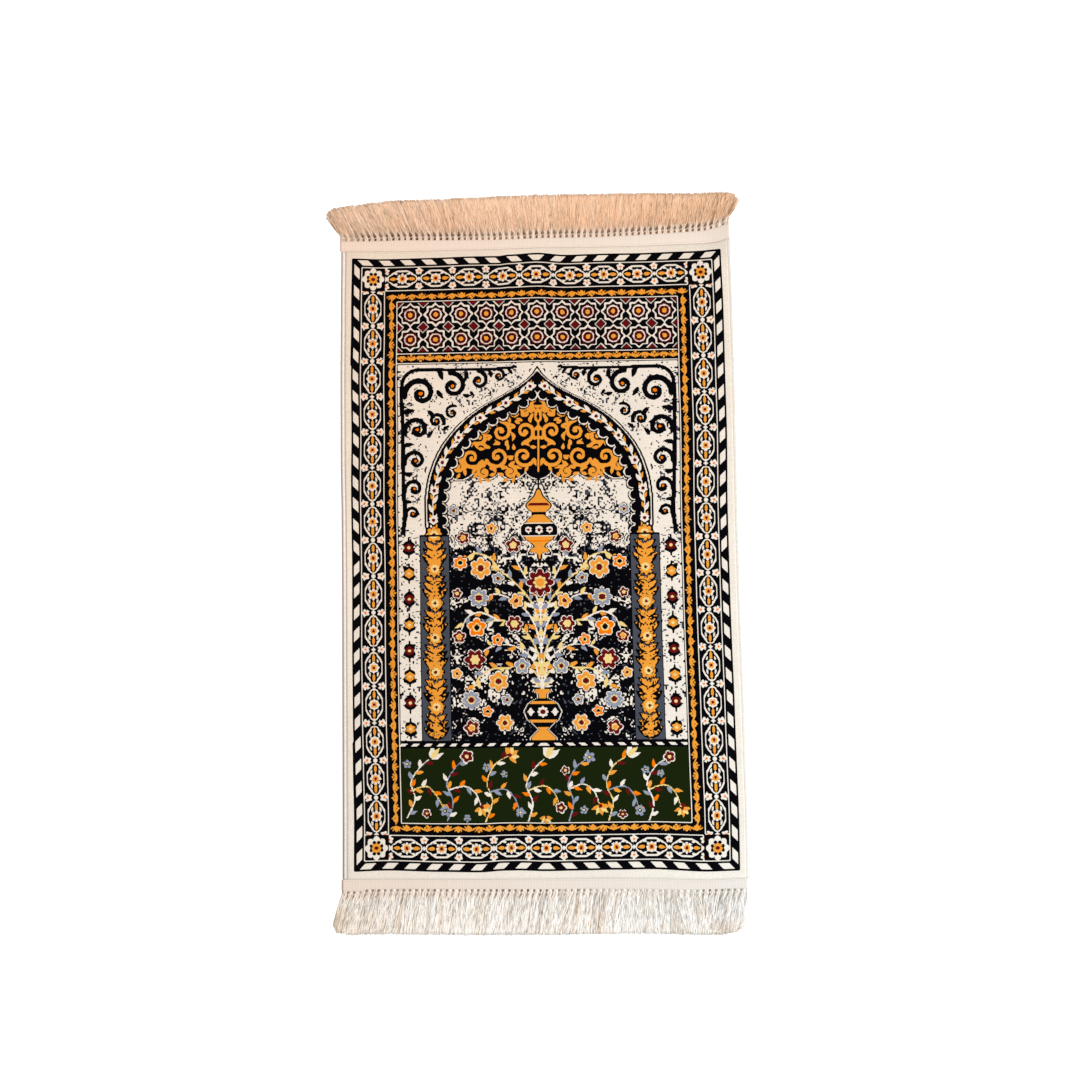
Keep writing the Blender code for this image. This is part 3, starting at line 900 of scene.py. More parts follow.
def make_mesh(name, points, face_groups, colours, domain="POINT"):
    """A smooth mesh from points (n, 3), groups of faces (m, sides) and a colour for each point or face."""
    mesh = bpy.data.meshes.new(name)
    mesh.vertices.add(len(points))
    mesh.vertices.foreach_set("co", np.ascontiguousarray(points, dtype=np.float32).ravel())
    sides = np.concatenate([np.full(len(faces), faces.shape[1]) for faces in face_groups])
    corners = np.concatenate([faces.ravel() for faces in face_groups]).astype(np.int32)
    mesh.loops.add(len(corners))
    mesh.loops.foreach_set("vertex_index", corners)
    mesh.polygons.add(len(sides))
    mesh.polygons.foreach_set("loop_start", (np.cumsum(sides) - sides).astype(np.int32))
    mesh.polygons.foreach_set("use_smooth", np.ones(len(sides), bool))
    mesh.update(calc_edges=True)
    colours = np.concatenate([colours, np.ones((len(colours), 1))], axis=1).astype(np.float32)
    if domain == "CORNER":
        colours = np.repeat(colours, sides, axis=0)
    layer = mesh.color_attributes.new("yarn", "FLOAT_COLOR", domain)
    layer.data.foreach_set("color", colours.ravel())
    return show(name, mesh)


def grid_faces(rows, columns, around=False):
    """Faces of a grid of rows x columns points; around closes each row into a ring."""
    reach = columns if around else columns - 1
    r, c = np.meshgrid(np.arange(rows - 1), np.arange(reach), indexing="ij")
    after = (c + 1) % columns
    low, high = r * columns, (r + 1) * columns
    return np.stack([low + c, low + after, high + after, high + c], -1).reshape(-1, 4)


def tubes(paths, radius, sides, turn=0.0):
    """Points and faces of threads along paths (count, steps, 3), closed at both ends."""
    count, steps = paths.shape[:2]
    ahead = np.gradient(paths, axis=1)
    ahead /= np.linalg.norm(ahead, axis=-1, keepdims=True)
    sideways = np.cross(ahead, (0.0, 0.0, 1.0))
    sideways /= np.linalg.norm(sideways, axis=-1, keepdims=True)
    upward = np.cross(sideways, ahead)
    angle = np.reshape(turn, (-1, 1)) + np.arange(sides) * 2 * math.pi / sides
    cosine, sine = (values[:, None, :, None] for values in (np.cos(angle), np.sin(angle)))
    round_about = cosine * sideways[:, :, None] + sine * upward[:, :, None]
    points = paths[:, :, None] + np.broadcast_to(radius, (count, steps))[..., None, None] * round_about
    points[..., 2] = np.maximum(points[..., 2], 0.0)
    starts = (np.arange(count) * steps * sides)[:, None, None]
    faces = (grid_faces(steps, sides, around=True)[None] + starts).reshape(-1, 4)
    cap = np.arange(sides)
    caps = np.stack([cap[::-1], (steps - 1) * sides + cap])[None] + starts
    return points, faces, caps.reshape(-1, sides)


# ---- the pile ------------------------------------------------------------------------------------
STRIPS = 4
STRAIGHT = 6                 # knots from the edges over which the woven lines stop straying
TUFT_RELIEF = 0.00016
OUTLINE_RELIEF = 0.00022     # how far the pile dips where two yarns meet
BROAD_RELIEF = 0.00020


def knot_colours():
    """Linear colour of each knot, with a slow drift of colour that is painted light on the yarns' own
    colours, and each tuft's own tone.
    """
    u, v = np.meshgrid(column_mm / column_mm[-1], row_mm / row_mm[-1])
    # The drift from the corner colours is painted light: warmer towards the niche end and the left.
    drift = corner_colours(CREAM_CORNERS, u, v) / linear(YARN_COLOURS[CREAM])
    rows, columns = np.meshgrid(np.arange(ROWS), np.arange(COLUMNS), indexing="ij")
    own = 1 + 0.10 * (grain(rows, columns, 5) - 0.5) + 0.05 * (grain(rows, 0 * columns, 9) - 0.5)
    patches = 1 + 0.06 * (clouds(columns * KNOT, rows * KNOT, 42, 21) - 0.5)
    # The margin is paler at the right edge, a painted highlight beside the rib, and halfway up the left side;
    # it is darker in the first column, painted shade beside the left rib, and towards the niche end's right
    # corner, painted shade as of a fold.
    patches = patches + 0.10 * (columns >= COLUMNS - 2) - 0.06 * (columns == 0)
    halfway = np.exp(-((rows / ROWS - 0.42) / 0.2) ** 2)
    patches = patches + 0.07 * halfway * (columns > 0) * (columns < 8)
    near_corner = np.clip(1 - np.hypot(COLUMNS - columns, (ROWS - rows) * 1.6) * KNOT / 60, 0, 1)
    patches = patches * (1 - 0.12 * near_corner)
    return linear(YARN_COLOURS)[chart] * drift * (own * patches)[..., None]


def round_outlines(across, up):
    """Move the grid's points where two yarns meet, so that curves run smoothly across the knots."""
    yarn = np.pad(chart, 1, mode="edge").astype(int)
    # edge_up[r, c] runs from point (r, c) to (r + 1, c), edge_right from (r, c) to (r, c + 1)
    edge_up = yarn[1:-1, :-1] != yarn[1:-1, 1:]
    edge_right = yarn[:-1, 1:-1] != yarn[1:, 1:-1]

    def joined(values):
        """The sum of the values at the points that an outline joins to each point."""
        total = np.zeros(values.shape)
        total[:-1] += edge_up * values[1:]
        total[1:] += edge_up * values[:-1]
        total[:, :-1] += edge_right * values[:, 1:]
        total[:, 1:] += edge_right * values[:, :-1]
        return total

    count = joined(np.ones(across.shape))
    neighbours = (yarn[1:-1, :-2], yarn[1:-1, 2:], yarn[:-2, 1:-1], yarn[2:, 1:-1])
    lone = np.pad(sum(yarn[1:-1, 1:-1] == other for other in neighbours) <= 1, 1)
    near_lone = lone[:-1, :-1] | lone[:-1, 1:] | lone[1:, :-1] | lone[1:, 1:]
    movable = (count == 2) & ~near_lone
    movable[0] = movable[-1] = False
    movable[:, 0] = movable[:, -1] = False
    for _ in range(2):
        for values in (across, up):
            values[movable] = 0.5 * values[movable] + 0.25 * joined(values)[movable]
    return count > 0


def make_pile():
    """The pile as strips side by side, each knot one face."""
    across, up = np.meshgrid(np.arange(COLUMNS + 1.0), np.arange(ROWS + 1.0))
    outline = round_outlines(across, up)
    x, y = place(across / COLUMNS, up / ROWS, PILE_INSETS)
    share = across / COLUMNS
    foot = read_table(WEAVE_DRIFT, share, 1) * (1 - up / ROWS) ** 8
    top = read_table(WEAVE_DRIFT, share, 2) * (up / ROWS) ** 8
    y += (foot + top) * np.clip(np.minimum(up, ROWS - up) / STRAIGHT, 0, 1)
    left, right = (read_table(ASIDE_DRIFT, up / ROWS, column) for column in (1, 2))
    from_side = np.minimum(across, COLUMNS - across)
    x += (left + (right - left) * share) * np.clip(from_side / STRAIGHT, 0, 1)
    from_edge = np.minimum(from_side, np.minimum(up, ROWS - up)) * KNOT
    rise = np.sqrt(1 - (1 - np.clip(from_edge / SHOULDER, 0, 1)) ** 2)
    tufts = grain(np.rint(up * 2), np.rint(across * 2), 31) * TUFT_RELIEF
    broad = clouds(across * KNOT, up * KNOT, 90, 41) * BROAD_RELIEF
    z = CLOTH_TOP + (PILE_TOP - CLOTH_TOP - tufts - broad - outline * OUTLINE_RELIEF) * rise
    points = np.stack([x, y, z], -1)
    colours = knot_colours()
    edges = np.linspace(0, COLUMNS, STRIPS + 1).astype(int)
    strips = []
    for number, (first, last) in enumerate(zip(edges, edges[1:])):
        part = points[:, first:last + 1]
        faces = grid_faces(ROWS + 1, last - first + 1)
        strip = make_mesh(f"pile_{number + 1}", part.reshape(-1, 3), [faces],
                          colours[:, first:last].reshape(-1, 3), domain="CORNER")
        fold_uv(strip, last - first + 1, faces)
        strips.append(strip)
    return strips


UV_FOLDS = 3
UV_MARGIN = 0.012


def fold_uv(strip, wide, faces):
    """A flat UV map of a strip, folded into a few columns so that it fills the square."""
    row, column = np.divmod(faces, wide)
    rows_each = ROWS / UV_FOLDS
    fold = np.minimum(row.min(1, keepdims=True) // rows_each, UV_FOLDS - 1)
    u = (fold + UV_MARGIN + (1 - 2 * UV_MARGIN) * column / (wide - 1)) / UV_FOLDS
    v = UV_MARGIN + (1 - 2 * UV_MARGIN) * (row / rows_each - fold) * rows_each / (rows_each + 1)
    layer = strip.data.uv_layers.new(name="OFBake")
    layer.data.foreach_set("uv", np.stack([u, v], -1).astype(np.float32).ravel())


# ---- the woven ground and the overcast ribs ------------------------------------------------------
def make_ground():
    """The woven ground under the pile: a thin closed sheet, flat below, with eased edges."""
    columns, rows = 130, 48
    section = ((0.0006, 0.0), (0.0002, 0.0006), (0.0002, CLOTH_TOP - 0.0003), (0.0005, CLOTH_TOP))
    rings = []
    for inset, height in section:
        foot = [(c / columns, 0.0) for c in range(columns)]
        right = [(1.0, r / rows) for r in range(rows)]
        edge = foot + right + [(1 - u, 1.0) for u, _ in foot] + [(0.0, 1 - v) for _, v in right]
        across, up = np.array(edge).T
        up = inset / RUG_LENGTH + up * (1 - 2 * inset / RUG_LENGTH)
        x, y = place(across, up, (inset, inset))
        rings.append(np.stack([x, y, np.full(len(x), height)], -1))
    count = len(rings[0])
    mesh = bpy.data.meshes.new("rug_ground")
    points = np.concatenate(rings)
    faces = [tuple(face) for face in grid_faces(len(section), count, around=True).tolist()]
    faces.append(tuple(range(count))[::-1])
    faces.append(tuple(range((len(section) - 1) * count, len(section) * count)))
    mesh.from_pydata(points.tolist(), [], faces)
    return show("rug_ground", mesh)


RIB_TURN = 0.0021            # length of one overcast turn
RIB_STEP = RIB_TURN / 3
RIB_SIDES = 6
# Where the corners of the ribs' sections lie, in half widths to the right of the middle: left, right rib.
RIB_CORNERS_AT = ((1.0, 0.1, -0.6, -1.0, -0.6, 0.1), (1.0, 0.5, -0.5, -1.0, -0.5, 0.5))


def make_rib(name, side):
    """The overcast rib along one side: yarn wound round the edge in slanting turns."""
    count = int(RUG_LENGTH / RIB_STEP) + 1
    up = np.linspace(0.0006, 0.9994, count)[:, None]
    angle = np.linspace(0, 2 * math.pi, RIB_SIDES, endpoint=False)[None, :]
    phase = 2 * math.pi * up * RUG_LENGTH / RIB_TURN + side * angle
    turn = np.floor(phase / (2 * math.pi))
    hollow = 0.5 - 0.5 * np.cos(phase)
    swell = 1 - 0.13 * hollow + 0.05 * (grain(turn, 0 * turn, 17) - 0.5)
    ends = np.clip(np.minimum(up, 1 - up) * RUG_LENGTH / 0.002, 0.3, 1)
    half = pick(side, RIB_WIDTHS) / 2
    x_middle = side_x(up, side) - side * half
    x = x_middle + np.array(pick(side, RIB_CORNERS_AT)) * half * swell
    y = cloth_y(x_middle, up) + 0 * angle
    z = RIB_HEIGHT / 2 + np.sin(angle) * RIB_HEIGHT / 2 * swell * ends
    points = np.stack([MIDDLE_X + x, y, np.maximum(z, 0.0)], -1).reshape(-1, 3)
    # Painted shade: darker in the hollows between turns. The left rib has a painted shadow on its outer side,
    # darker and wider towards the foot, and a painted highlight on its top and inner side; the right rib has
    # a little painted shade on both flanks.
    shade = 0.95 + 0.10 * grain(turn, 0 * turn + side, 23) - 0.14 * hollow ** 2
    outward = side * np.cos(angle) + 0 * up
    if side < 0:
        painted_shade = np.interp(outward, (-1, -0.5, 0.5, 1), (-0.12, -0.08, 0.58, 0.56))
        painted_shade = painted_shade + (1 - up) ** 2 * (outward > -0.6) * 0.12
    else:
        painted_shade = np.interp(outward, (-1, 0, 1), (0.14, 0, 0.14))
    shade = shade[..., None] * (1 - painted_shade[..., None] * pick(side, RIB_SHADE_TINTS))
    colours = corner_colours(RIB_CORNERS, side, points[:, 1] / (RUG_LENGTH / 2)) * shade.reshape(-1, 3)
    return make_mesh(name, points, [grid_faces(count, RIB_SIDES, around=True)], colours)


# ---- the heading tapes ---------------------------------------------------------------------------
CORD_PITCH = 0.0025          # of the tape's ribs, which run along the rug
CORD_RELIEF = 0.00014
# The tape's left end is darkened by a painted shadow.
TAPE_EDGE_SHADOW = (0.62, 0.30)     # how dark the tape's left edge is, at the foot and the niche end
STITCH_PITCH = 0.0042
# The tape's section from the cloth outwards. Columns: share of its width, height.
TAPE_SECTION = (
    (-0.012, 0.0020), (0.03, 0.0022), (0.10, 0.0023), (0.14, 0.0020), (0.18, 0.00235), (0.50, 0.0025),
    (0.86, 0.00235), (0.97, 0.0020), (1.00, 0.0010),
)


def make_tape(name, end):
    """A ribbed tape, as a closed thin sheet."""
    count = int(TAPE_LENGTH / (CORD_PITCH / 3)) + 1
    step = np.arange(count)[:, None]
    x = TAPE_LEFT + np.linspace(0, TAPE_LENGTH, count)[:, None]
    section = np.array([(0.02, 0.0)] + list(TAPE_SECTION) + [(0.98, 0.0)])
    share, height = section.T[:, None, :]
    rib = np.cos(step * 2 * math.pi / 3)
    top = (height > 0.0018) * 1.0
    z = height + top * rib * CORD_RELIEF
    sag = 0.0004 * (clouds(x * 1000, x * 0, 60, 51) - 0.5)
    y = tape_y(x, end, share) + end * sag
    points = np.stack([MIDDLE_X + x + 0 * share, y, z], -1).reshape(-1, 3)
    # Painted shade in the grooves between the cords; every second cord is a little darker as well.
    every_second = step // 3 % 2
    grooves = (0.08 * (1 - rib) / 2 + 0.045 * every_second) * top
    shade = 1.02 - grooves + 0.04 * (grain(step, 0, 61) - 0.5)
    # Painted light on the inner edge, against the shade of the seam; painted shade, as of a fold, towards the
    # niche end's right corner; a painted shadow on the left edge.
    shade = shade + 0.12 * np.clip(1 - share / 0.06, 0, 1)
    shade = shade * (1 - 0.10 * np.clip((x - 0.29) / 0.05, 0, 1) * (end > 0))
    painted_shade = pick(end, TAPE_EDGE_SHADOW) * np.clip(1.5 - (x - TAPE_LEFT) / 0.0024, 0, 1)
    shade = shade[..., None] * (1 - painted_shade[..., None] * EDGE_SHADOW_TINT)
    colours = corner_colours(TAPE_CORNERS, points[:, 0] / (RUG_WIDTH / 2), end) * shade.reshape(-1, 3)
    wide = len(section)
    half = np.arange(wide // 2 - 1)
    caps = np.stack([half, half + 1, wide - 2 - half, wide - 1 - half], -1)
    caps = np.concatenate([caps, (caps + (count - 1) * wide)[:, ::-1]])
    return make_mesh(name, points, [grid_faces(count, wide, around=True), caps], colours)


def make_stitches(name, end):
    """The row of stitches that holds a tape, near its inner edge."""
    count = int((TAPE_LENGTH - 0.004) / STITCH_PITCH)
    middle = TAPE_LEFT + 0.002 + (np.arange(count)[:, None] + 0.5) * STITCH_PITCH
    x = middle + np.array((-0.44, -0.30, 0.0, 0.30, 0.44)) * STITCH_PITCH
    z = 0.0021 + np.array((-0.00035, 0.0, 0.00012, 0.0, -0.00035)) + 0 * x
    y = tape_y(x, end, 0.14)
    radius = 0.00034 * np.array((0.5, 0.9, 1.0, 0.9, 0.5))
    points, faces, caps = tubes(np.stack([MIDDLE_X + x, y, z], -1), radius, 4)
    points = points.reshape(-1, 3)
    colours = corner_colours(TAPE_CORNERS, points[:, 0] / (RUG_WIDTH / 2), end) * 0.95
    return make_mesh(name, points, [faces, caps], colours)


# ---- the fringes ---------------------------------------------------------------------------------
YARNS_EACH = 26
LOW_YARNS = 9                # of them lie evenly, low down, and close the fringe
LOCKS_EACH = 5
LOCKS = TASSELS * LOCKS_EACH
# Pairs are for the foot and the niche end.
SEEDS = (4, 3)
YARN_RADII = (0.00066, 0.00050)
LOW_RADIUS = 0.00070         # of the yarns that lie low
TIPS_SHORT = 0.0012          # how far the yarns stop short of the fringe's reach, on average
SLIPS = (-0.0026, 0.0003)    # how far the tassels slip to the right just past their ties
TIES_AT = (0.0044, 0.0052)   # from the tape to the cord that ties the tassels
# The lines that run on from the gaps are painted shadow.
GAP_LINE_SHADOW = (0.50, 0.62)     # how dark the lines are that run on from the gaps
FLECKS = ((0.13, 0.54), (0.18, 0.56))        # how uneven a yarn's shade is, and the shade of its dark flecks
TASSEL_SWAY, LOCK_SWAY, YARN_SWAY = 0.0020, 0.0036, 0.0034       # how far the tips stray
# The least and greatest size, then length, of the waves of a lock and of a yarn.
LOCK_WAVE = ((0.0003, 0.0010), (0.026, 0.046))
YARN_WAVE = ((0.0001, 0.0009), (0.018, 0.032))
BRIGHTEST = 0.96             # no yarn is brighter in any of its three colours
# The low threads below stand in the gaps as painted shade: dark brown there, fading towards their tips.
THREADS_EACH = 8             # low dark threads in each gap
THREAD_RADIUS = 0.00075      # of these and of the cord
THREAD_SHADE_FADES = ((1.0, 0.9, 0.2, 0.0), (1.0, 1.0, 0.55, 0.0))     # how dark they are from root to tip
# Places along a yarn, in metres from the tape, then in shares of the rest of its length.
NECK_STEPS = np.array((-0.0015, 0.0022, 0.0052, 0.0082, 0.0118, 0.0160))
SKIRT_STEPS = np.array((0.12, 0.25, 0.38, 0.51, 0.64, 0.77, 0.89, 1.00))
# Half the width of a tassel along its length, in millimetres: neck, tie, waist, then spreading out.
BUNDLE_AT = np.array((-2.0, 2.2, 5.2, 8.2, 11.8, 16.0, 24.0, 50.0, 80.0)) / 1000
BUNDLES = (np.array((3.3, 2.9, 4.3, 4.1, 4.9, 5.6, 6.6, 7.8, 8.6)) / 1000,
           np.array((3.7, 3.2, 3.1, 2.3, 3.3, 5.0, 6.4, 7.8, 8.6)) / 1000)
# How high the yarns are stacked along the tassel.
STACK_AT = np.array((-2.0, 1.0, 3.3, 8.0, 15.0, 40.0, 80.0)) / 1000
STACK_HIGH = np.array((0.9, 1.5, 2.1, 2.5, 2.3, 1.7, 0.8)) / 1000
# How dark the painted shade in the gaps between the tassels is. Columns, in hundredths: share of the width,
# foot, niche end.
GAP_SHADE_TONE = np.array((
    (0, 55, 20), (3, 80, 35), (5, 40, 60), (7, 90, 90), (10, 65, 90), (30, 70, 95), (38, 95, 85),
    (45, 95, 70), (50, 90, 90), (52, 55, 90), (60, 50, 80), (64, 8, 75), (86, 5, 85), (90, 80, 85),
    (95, 85, 90), (97, 45, 60), (100, 30, 35),
)) / 100


def slant(s, end):
    """How far a tassel slips sideways at the distance s along it."""
    return pick(end, SLIPS) * np.clip((s - 0.002) / 0.012, 0, 1)


# How bright the yarns are, with painted light that makes the niche end's fringe brightest in its middle.
# Columns, in hundredths: share of the width, foot, niche end.
FRINGE_SHADE = np.array((
    (0, 90, 66), (2, 96, 79), (6, 105, 91), (20, 104, 98), (50, 102, 119), (70, 100, 115),
    (90, 90, 102), (97, 88, 95), (100, 88, 88),
)) / 100


def make_fringe(name, end):
    """Tassels of fine yarns: each bundle leaves the tape narrow, is tied, and spreads over its neighbours."""
    rng = np.random.default_rng(pick(end, SEEDS))
    rows = pick(end, (FOOT_FRINGE, TOP_FRINGE))
    yarn_radius = pick(end, YARN_RADII)
    tassel, order = np.divmod(np.arange(TASSELS * YARNS_EACH), YARNS_EACH)
    count = len(tassel)

    def each(least, most):
        return rng.uniform(least, most, count)[:, None]

    def each_lock(least, most):
        return rng.uniform(least, most, LOCKS)[lock][:, None]

    def waves(draw, sizes, lengths):
        return draw(*sizes) * np.sin(s * 2 * math.pi / draw(*lengths) + draw(0, 6.28))

    # Where each yarn starts: the low ones evenly, the others gathered into locks.
    low = order < LOW_YARNS
    start = np.where(low, (order + 0.5) / LOW_YARNS,
                     (order - LOW_YARNS + rng.uniform(0.1, 0.9, count)) / (YARNS_EACH - LOW_YARNS))
    lock_of_tassel = (start * LOCKS_EACH).astype(int)
    lock = tassel * LOCKS_EACH + lock_of_tassel
    lock_middle = (lock_of_tassel + 0.5) / LOCKS_EACH
    spread = (start * 2 - 1)[:, None]        # -1 to 1 across the tassel
    gathered = (np.where(low, start, lock_middle + (start - lock_middle) * 0.8) * 2 - 1)[:, None]
    layer = np.where(low, rng.uniform(0, 0.12, count), rng.uniform(0.15, 1, count))[:, None]
    low = low[:, None]
    middle = (TAPE_LEFT + (tassel + 0.5) * TASSEL_PITCH)[:, None]
    root_x = middle + spread * TASSEL_PITCH / 2
    share = np.clip((root_x - TAPE_LEFT) / TAPE_LENGTH, 0, 1)

    # How it leans, how long it is, and the places s along it, in metres from the tape.
    free = np.where(low, 0.06, np.clip(np.minimum(share, 1 - share) / 0.03, 0.15, 1))
    even = sum(read_table(rows, share + step, 1) for step in (-0.08, -0.05, -0.02, 0.02, 0.05, 0.08)) / 6
    lean = np.where(low, even, read_table(rows, share, 1))
    tape_reach = (tape_y(root_x, end, 1) - MIDDLE_Y - straight_end(root_x, end)) * end
    length = read_table(rows, share, 2) - tape_reach - TIPS_SHORT + rng.normal(0, 0.0010, count)[:, None]
    neck = np.broadcast_to(NECK_STEPS, (count, len(NECK_STEPS)))
    s = np.concatenate([neck, NECK_STEPS[-1] + (length - NECK_STEPS[-1]) * SKIRT_STEPS], axis=1)
    t = np.clip(s / length, 0, 1)

    loose = np.clip((s - 0.010) / 0.02, 0, 1)
    swing = rng.normal(0, TASSEL_SWAY, TASSELS)[tassel] + rng.normal(0, LOCK_SWAY, LOCKS)[lock]
    wave = waves(each_lock, *LOCK_WAVE)
    curl = waves(each, *YARN_WAVE)
    stray = rng.normal(0, YARN_SWAY, count)[:, None] * t ** 1.3
    half = np.interp(s, BUNDLE_AT, pick(end, BUNDLES))
    half = np.where(low, np.minimum(half, TASSEL_PITCH / 2), half)
    offset = half * (spread + (gathered - spread) * loose)
    shift = (wave + curl + stray) * loose + swing[:, None] * t ** 1.2
    hang = np.clip((s - 0.006) / (length - 0.006), 0, 1) ** 1.05
    x = middle + offset + shift * free + lean * hang + slant(s, end)
    y = tape_y(middle + offset, end, 1) + end * s
    crown = 1 - 0.45 * spread ** 2
    lift = each(0, 0.0003) * (1 + np.sin(s * 240 + each(0, 6.28))) * loose
    z = yarn_radius + np.interp(s, STACK_AT, STACK_HIGH) * layer * crown + lift
    tip = np.where(np.arange(s.shape[1]) == s.shape[1] - 1, 0.5, 1.0)
    radius = np.where(low, LOW_RADIUS + 0.00034 * t, yarn_radius * each(0.85, 1.15)) * tip
    yarns = tubes(np.stack([MIDDLE_X + x, y, z], -1), radius, 3, rng.uniform(0, 6.28, count))
    own = yarn_colours(end, rng, tassel, lock, middle, spread, layer, share, s)

    points, quads, caps, shades, made = [], [], [], [], 0
    for (part, part_quads, part_caps), colours in (
        (yarns, own), make_gap_threads(end, rows, rng), make_tie(end),
    ):
        points.append(part.reshape(-1, 3))
        quads.append(part_quads + made)
        caps.append(part_caps + made)
        shades.append(colours.reshape(-1, 3))
        made += len(points[-1])
    return make_mesh(name, np.concatenate(points), quads + caps, np.concatenate(shades))


def yarn_colours(end, rng, tassel, lock, middle, spread, layer, share, s):
    """Colours of the corners of the yarns at one end, at each of their places s."""
    # A painted shadow line runs on from each gap between the tassels, a different way along each.
    tone = read_table(GAP_SHADE_TONE, share, pick(end, (1, 2)))
    gap = tassel + (spread[:, 0] > 0)
    reach = rng.uniform(0.004, 0.020, TASSELS + 1)[gap][:, None]
    beside = np.clip((np.abs(spread) - 0.50) / 0.50, 0, 1)
    fade = np.exp(-(np.maximum(s - 0.010, 0) / reach) ** 2) * (s > 0.007)
    painted_gap_shadow = 1 - pick(end, GAP_LINE_SHADOW) * beside * (0.25 + 0.75 * tone) * fade

    # Painted shade: yarns that lie lower in the stack are darker.
    depth = (0.74 + 0.30 * layer ** 0.5) * read_table(FRINGE_SHADE, share, pick(end, (1, 2)))
    own = (rng.normal(1.02, 0.15, len(tassel)) * rng.normal(1.0, 0.06, LOCKS)[lock])[:, None]
    uneven, dark_fleck = pick(end, FLECKS)
    fleck = rng.normal(1.06, uneven, s.shape)
    fleck = fleck * np.where(rng.random(s.shape) < 0.16, dark_fleck, 1.0)
    shade = np.clip(painted_gap_shadow * depth * own * fleck, 0.12, 1.25)
    # The darker parts are tinted warm, as painted shade.
    warm_shade = np.minimum(shade, 1)[..., None] ** np.array((-0.05, 0.0, 0.12))

    # Tan patches and the odd tan yarn.
    across = middle / (RUG_WIDTH / 2)
    patches = np.clip(clouds(across * 350, s * 1000, 34, 91) * 2.4 - 1.5, 0, 1) * 0.55
    tan = np.maximum(patches, np.clip(1.4 - share / 0.035, 0, 0.8)) * np.clip(s / 0.03 - 0.4, 0, 1)
    odd = rng.uniform(0, 1, share.shape) < np.where(end < 0, np.clip(0.17 - 0.10 * share, 0.05, 1), 0.14)
    tan = np.where(odd, 1.0, tan * (end < 0))[..., None]
    colours = corner_colours(YARN_CORNERS, across, end)
    colours = colours + (linear(pick(end, ACCENT_YARNS)) - colours) * tan
    # Near the tape the yarns take the tape's colour, brightened as painted light on the lit necks.
    lit_necks = corner_colours(TAPE_CORNERS, across, end) * 1.1
    neck_share = np.clip((0.017 - s) / 0.008, 0, 0.8)[..., None]
    colours = (colours + (lit_necks - colours) * neck_share) * shade[..., None] * LIGHT * warm_shade
    colours = colours * (BRIGHTEST / np.maximum(colours.max(-1, keepdims=True), BRIGHTEST))
    return np.repeat(colours[:, :, None], 3, axis=2)


def make_gap_threads(end, rows, rng):
    """Threads that lie low behind the necks, coloured dark in the gaps between the tassels as painted shade.
    """
    gap, order = np.divmod(np.arange((TASSELS + 1) * THREADS_EACH), THREADS_EACH)
    count = len(gap)
    middle = (TAPE_LEFT + gap * TASSEL_PITCH)[:, None]
    s = np.array((-0.0010, 0.0070, 0.0150, 0.0230)) + rng.uniform(-0.0045, 0.0070, (count, 1)) * (0, 0, 0, 1)
    share = np.clip(gap / TASSELS, 0, 1)
    lean = read_table(rows, share, 1)[:, None] * np.clip((s - 0.006) / 0.072, 0, 1) ** 1.05 + slant(s, end)
    across = (order[:, None] - 3.5) * 0.00105 * np.clip(1 + (s - 0.012) * 22, 0.8, 1.3)
    x = middle + across + lean + rng.normal(0, 0.0001, count)[:, None]
    left, right = TAPE_LEFT + 0.001, TAPE_LEFT + TAPE_LENGTH - 0.001
    x = np.clip(x, left + np.minimum(lean, 0), right + np.maximum(lean, 0))
    y = tape_y(x - lean, end, 1) + end * s
    z = np.full(x.shape, 0.0005) + rng.uniform(0, 0.0003, count)[:, None]
    tube = tubes(np.stack([MIDDLE_X + x, y, z], -1), THREAD_RADIUS, 3)
    # Painted shade: dark brown in the gaps, fading from root to tip; elsewhere the threads are darker than
    # the yarns.
    tone = read_table(GAP_SHADE_TONE, share, pick(end, (1, 2))) * rng.uniform(0.72, 1.08, TASSELS + 1)[gap]
    tone = np.clip(tone, 0, 1)[:, None, None, None]
    pale = corner_colours(YARN_CORNERS, middle[:, 0] / (RUG_WIDTH / 2), end)[:, None, None] * 0.8
    painted_shade = linear(pick(end, GAP_SHADE_THREADS)) * rng.uniform(0.7, 1.3, count)[:, None, None, None]
    fade = np.array(pick(end, THREAD_SHADE_FADES))[:, None, None]
    return tube, np.broadcast_to(pale + (painted_shade - pale) * tone * fade, tube[0].shape)


def make_tie(end):
    """The cord that ties the tassels, over each knot and slantwise across each gap."""
    steps = TASSELS * 8
    share = (np.arange(steps) + 0.5) / 8
    phase = share * 2 * math.pi
    x = TAPE_LEFT + share * TASSEL_PITCH
    y = tape_y(x, end, 1) + end * pick(end, TIES_AT) + 0.0015 * np.sin(phase)
    z = 0.0022 - 0.0007 * np.cos(phase)
    tube = tubes(np.stack([MIDDLE_X + x, y, z], -1)[None], THREAD_RADIUS, 4)
    colours = corner_colours(TAPE_CORNERS, x / (RUG_WIDTH / 2), end) * 1.1
    # Painted shade: the cord is darker where it dips low across the gaps.
    dip_shade = 0.80 + 0.20 * (0.5 - 0.5 * np.cos(phase))
    return tube, np.repeat((colours * dip_shade[:, None])[None, :, None], 4, axis=2)


# ---- materials -----------------------------------------------------------------------------------
def new_material(name, values):
    """A material and its shader, with the given values on the shader's sockets."""
    material = bpy.data.materials.new(name)
    material.use_nodes = True
    shader = material.node_tree.nodes["Principled BSDF"]
    for socket, value in values.items():
        shader.inputs[socket].default_value = value
    return material, shader


def new_cloth(name, roughness, sheen, specular, tint=(1.0, 1.0, 1.0)):
    """A new material of cloth or yarn; tint is its sheen's colour."""
    return new_material(name, {
        "Roughness": roughness, "Specular IOR Level": specular,
        "Sheen Weight": sheen, "Sheen Roughness": 0.45, "Sheen Tint": (*tint, 1.0),
    })


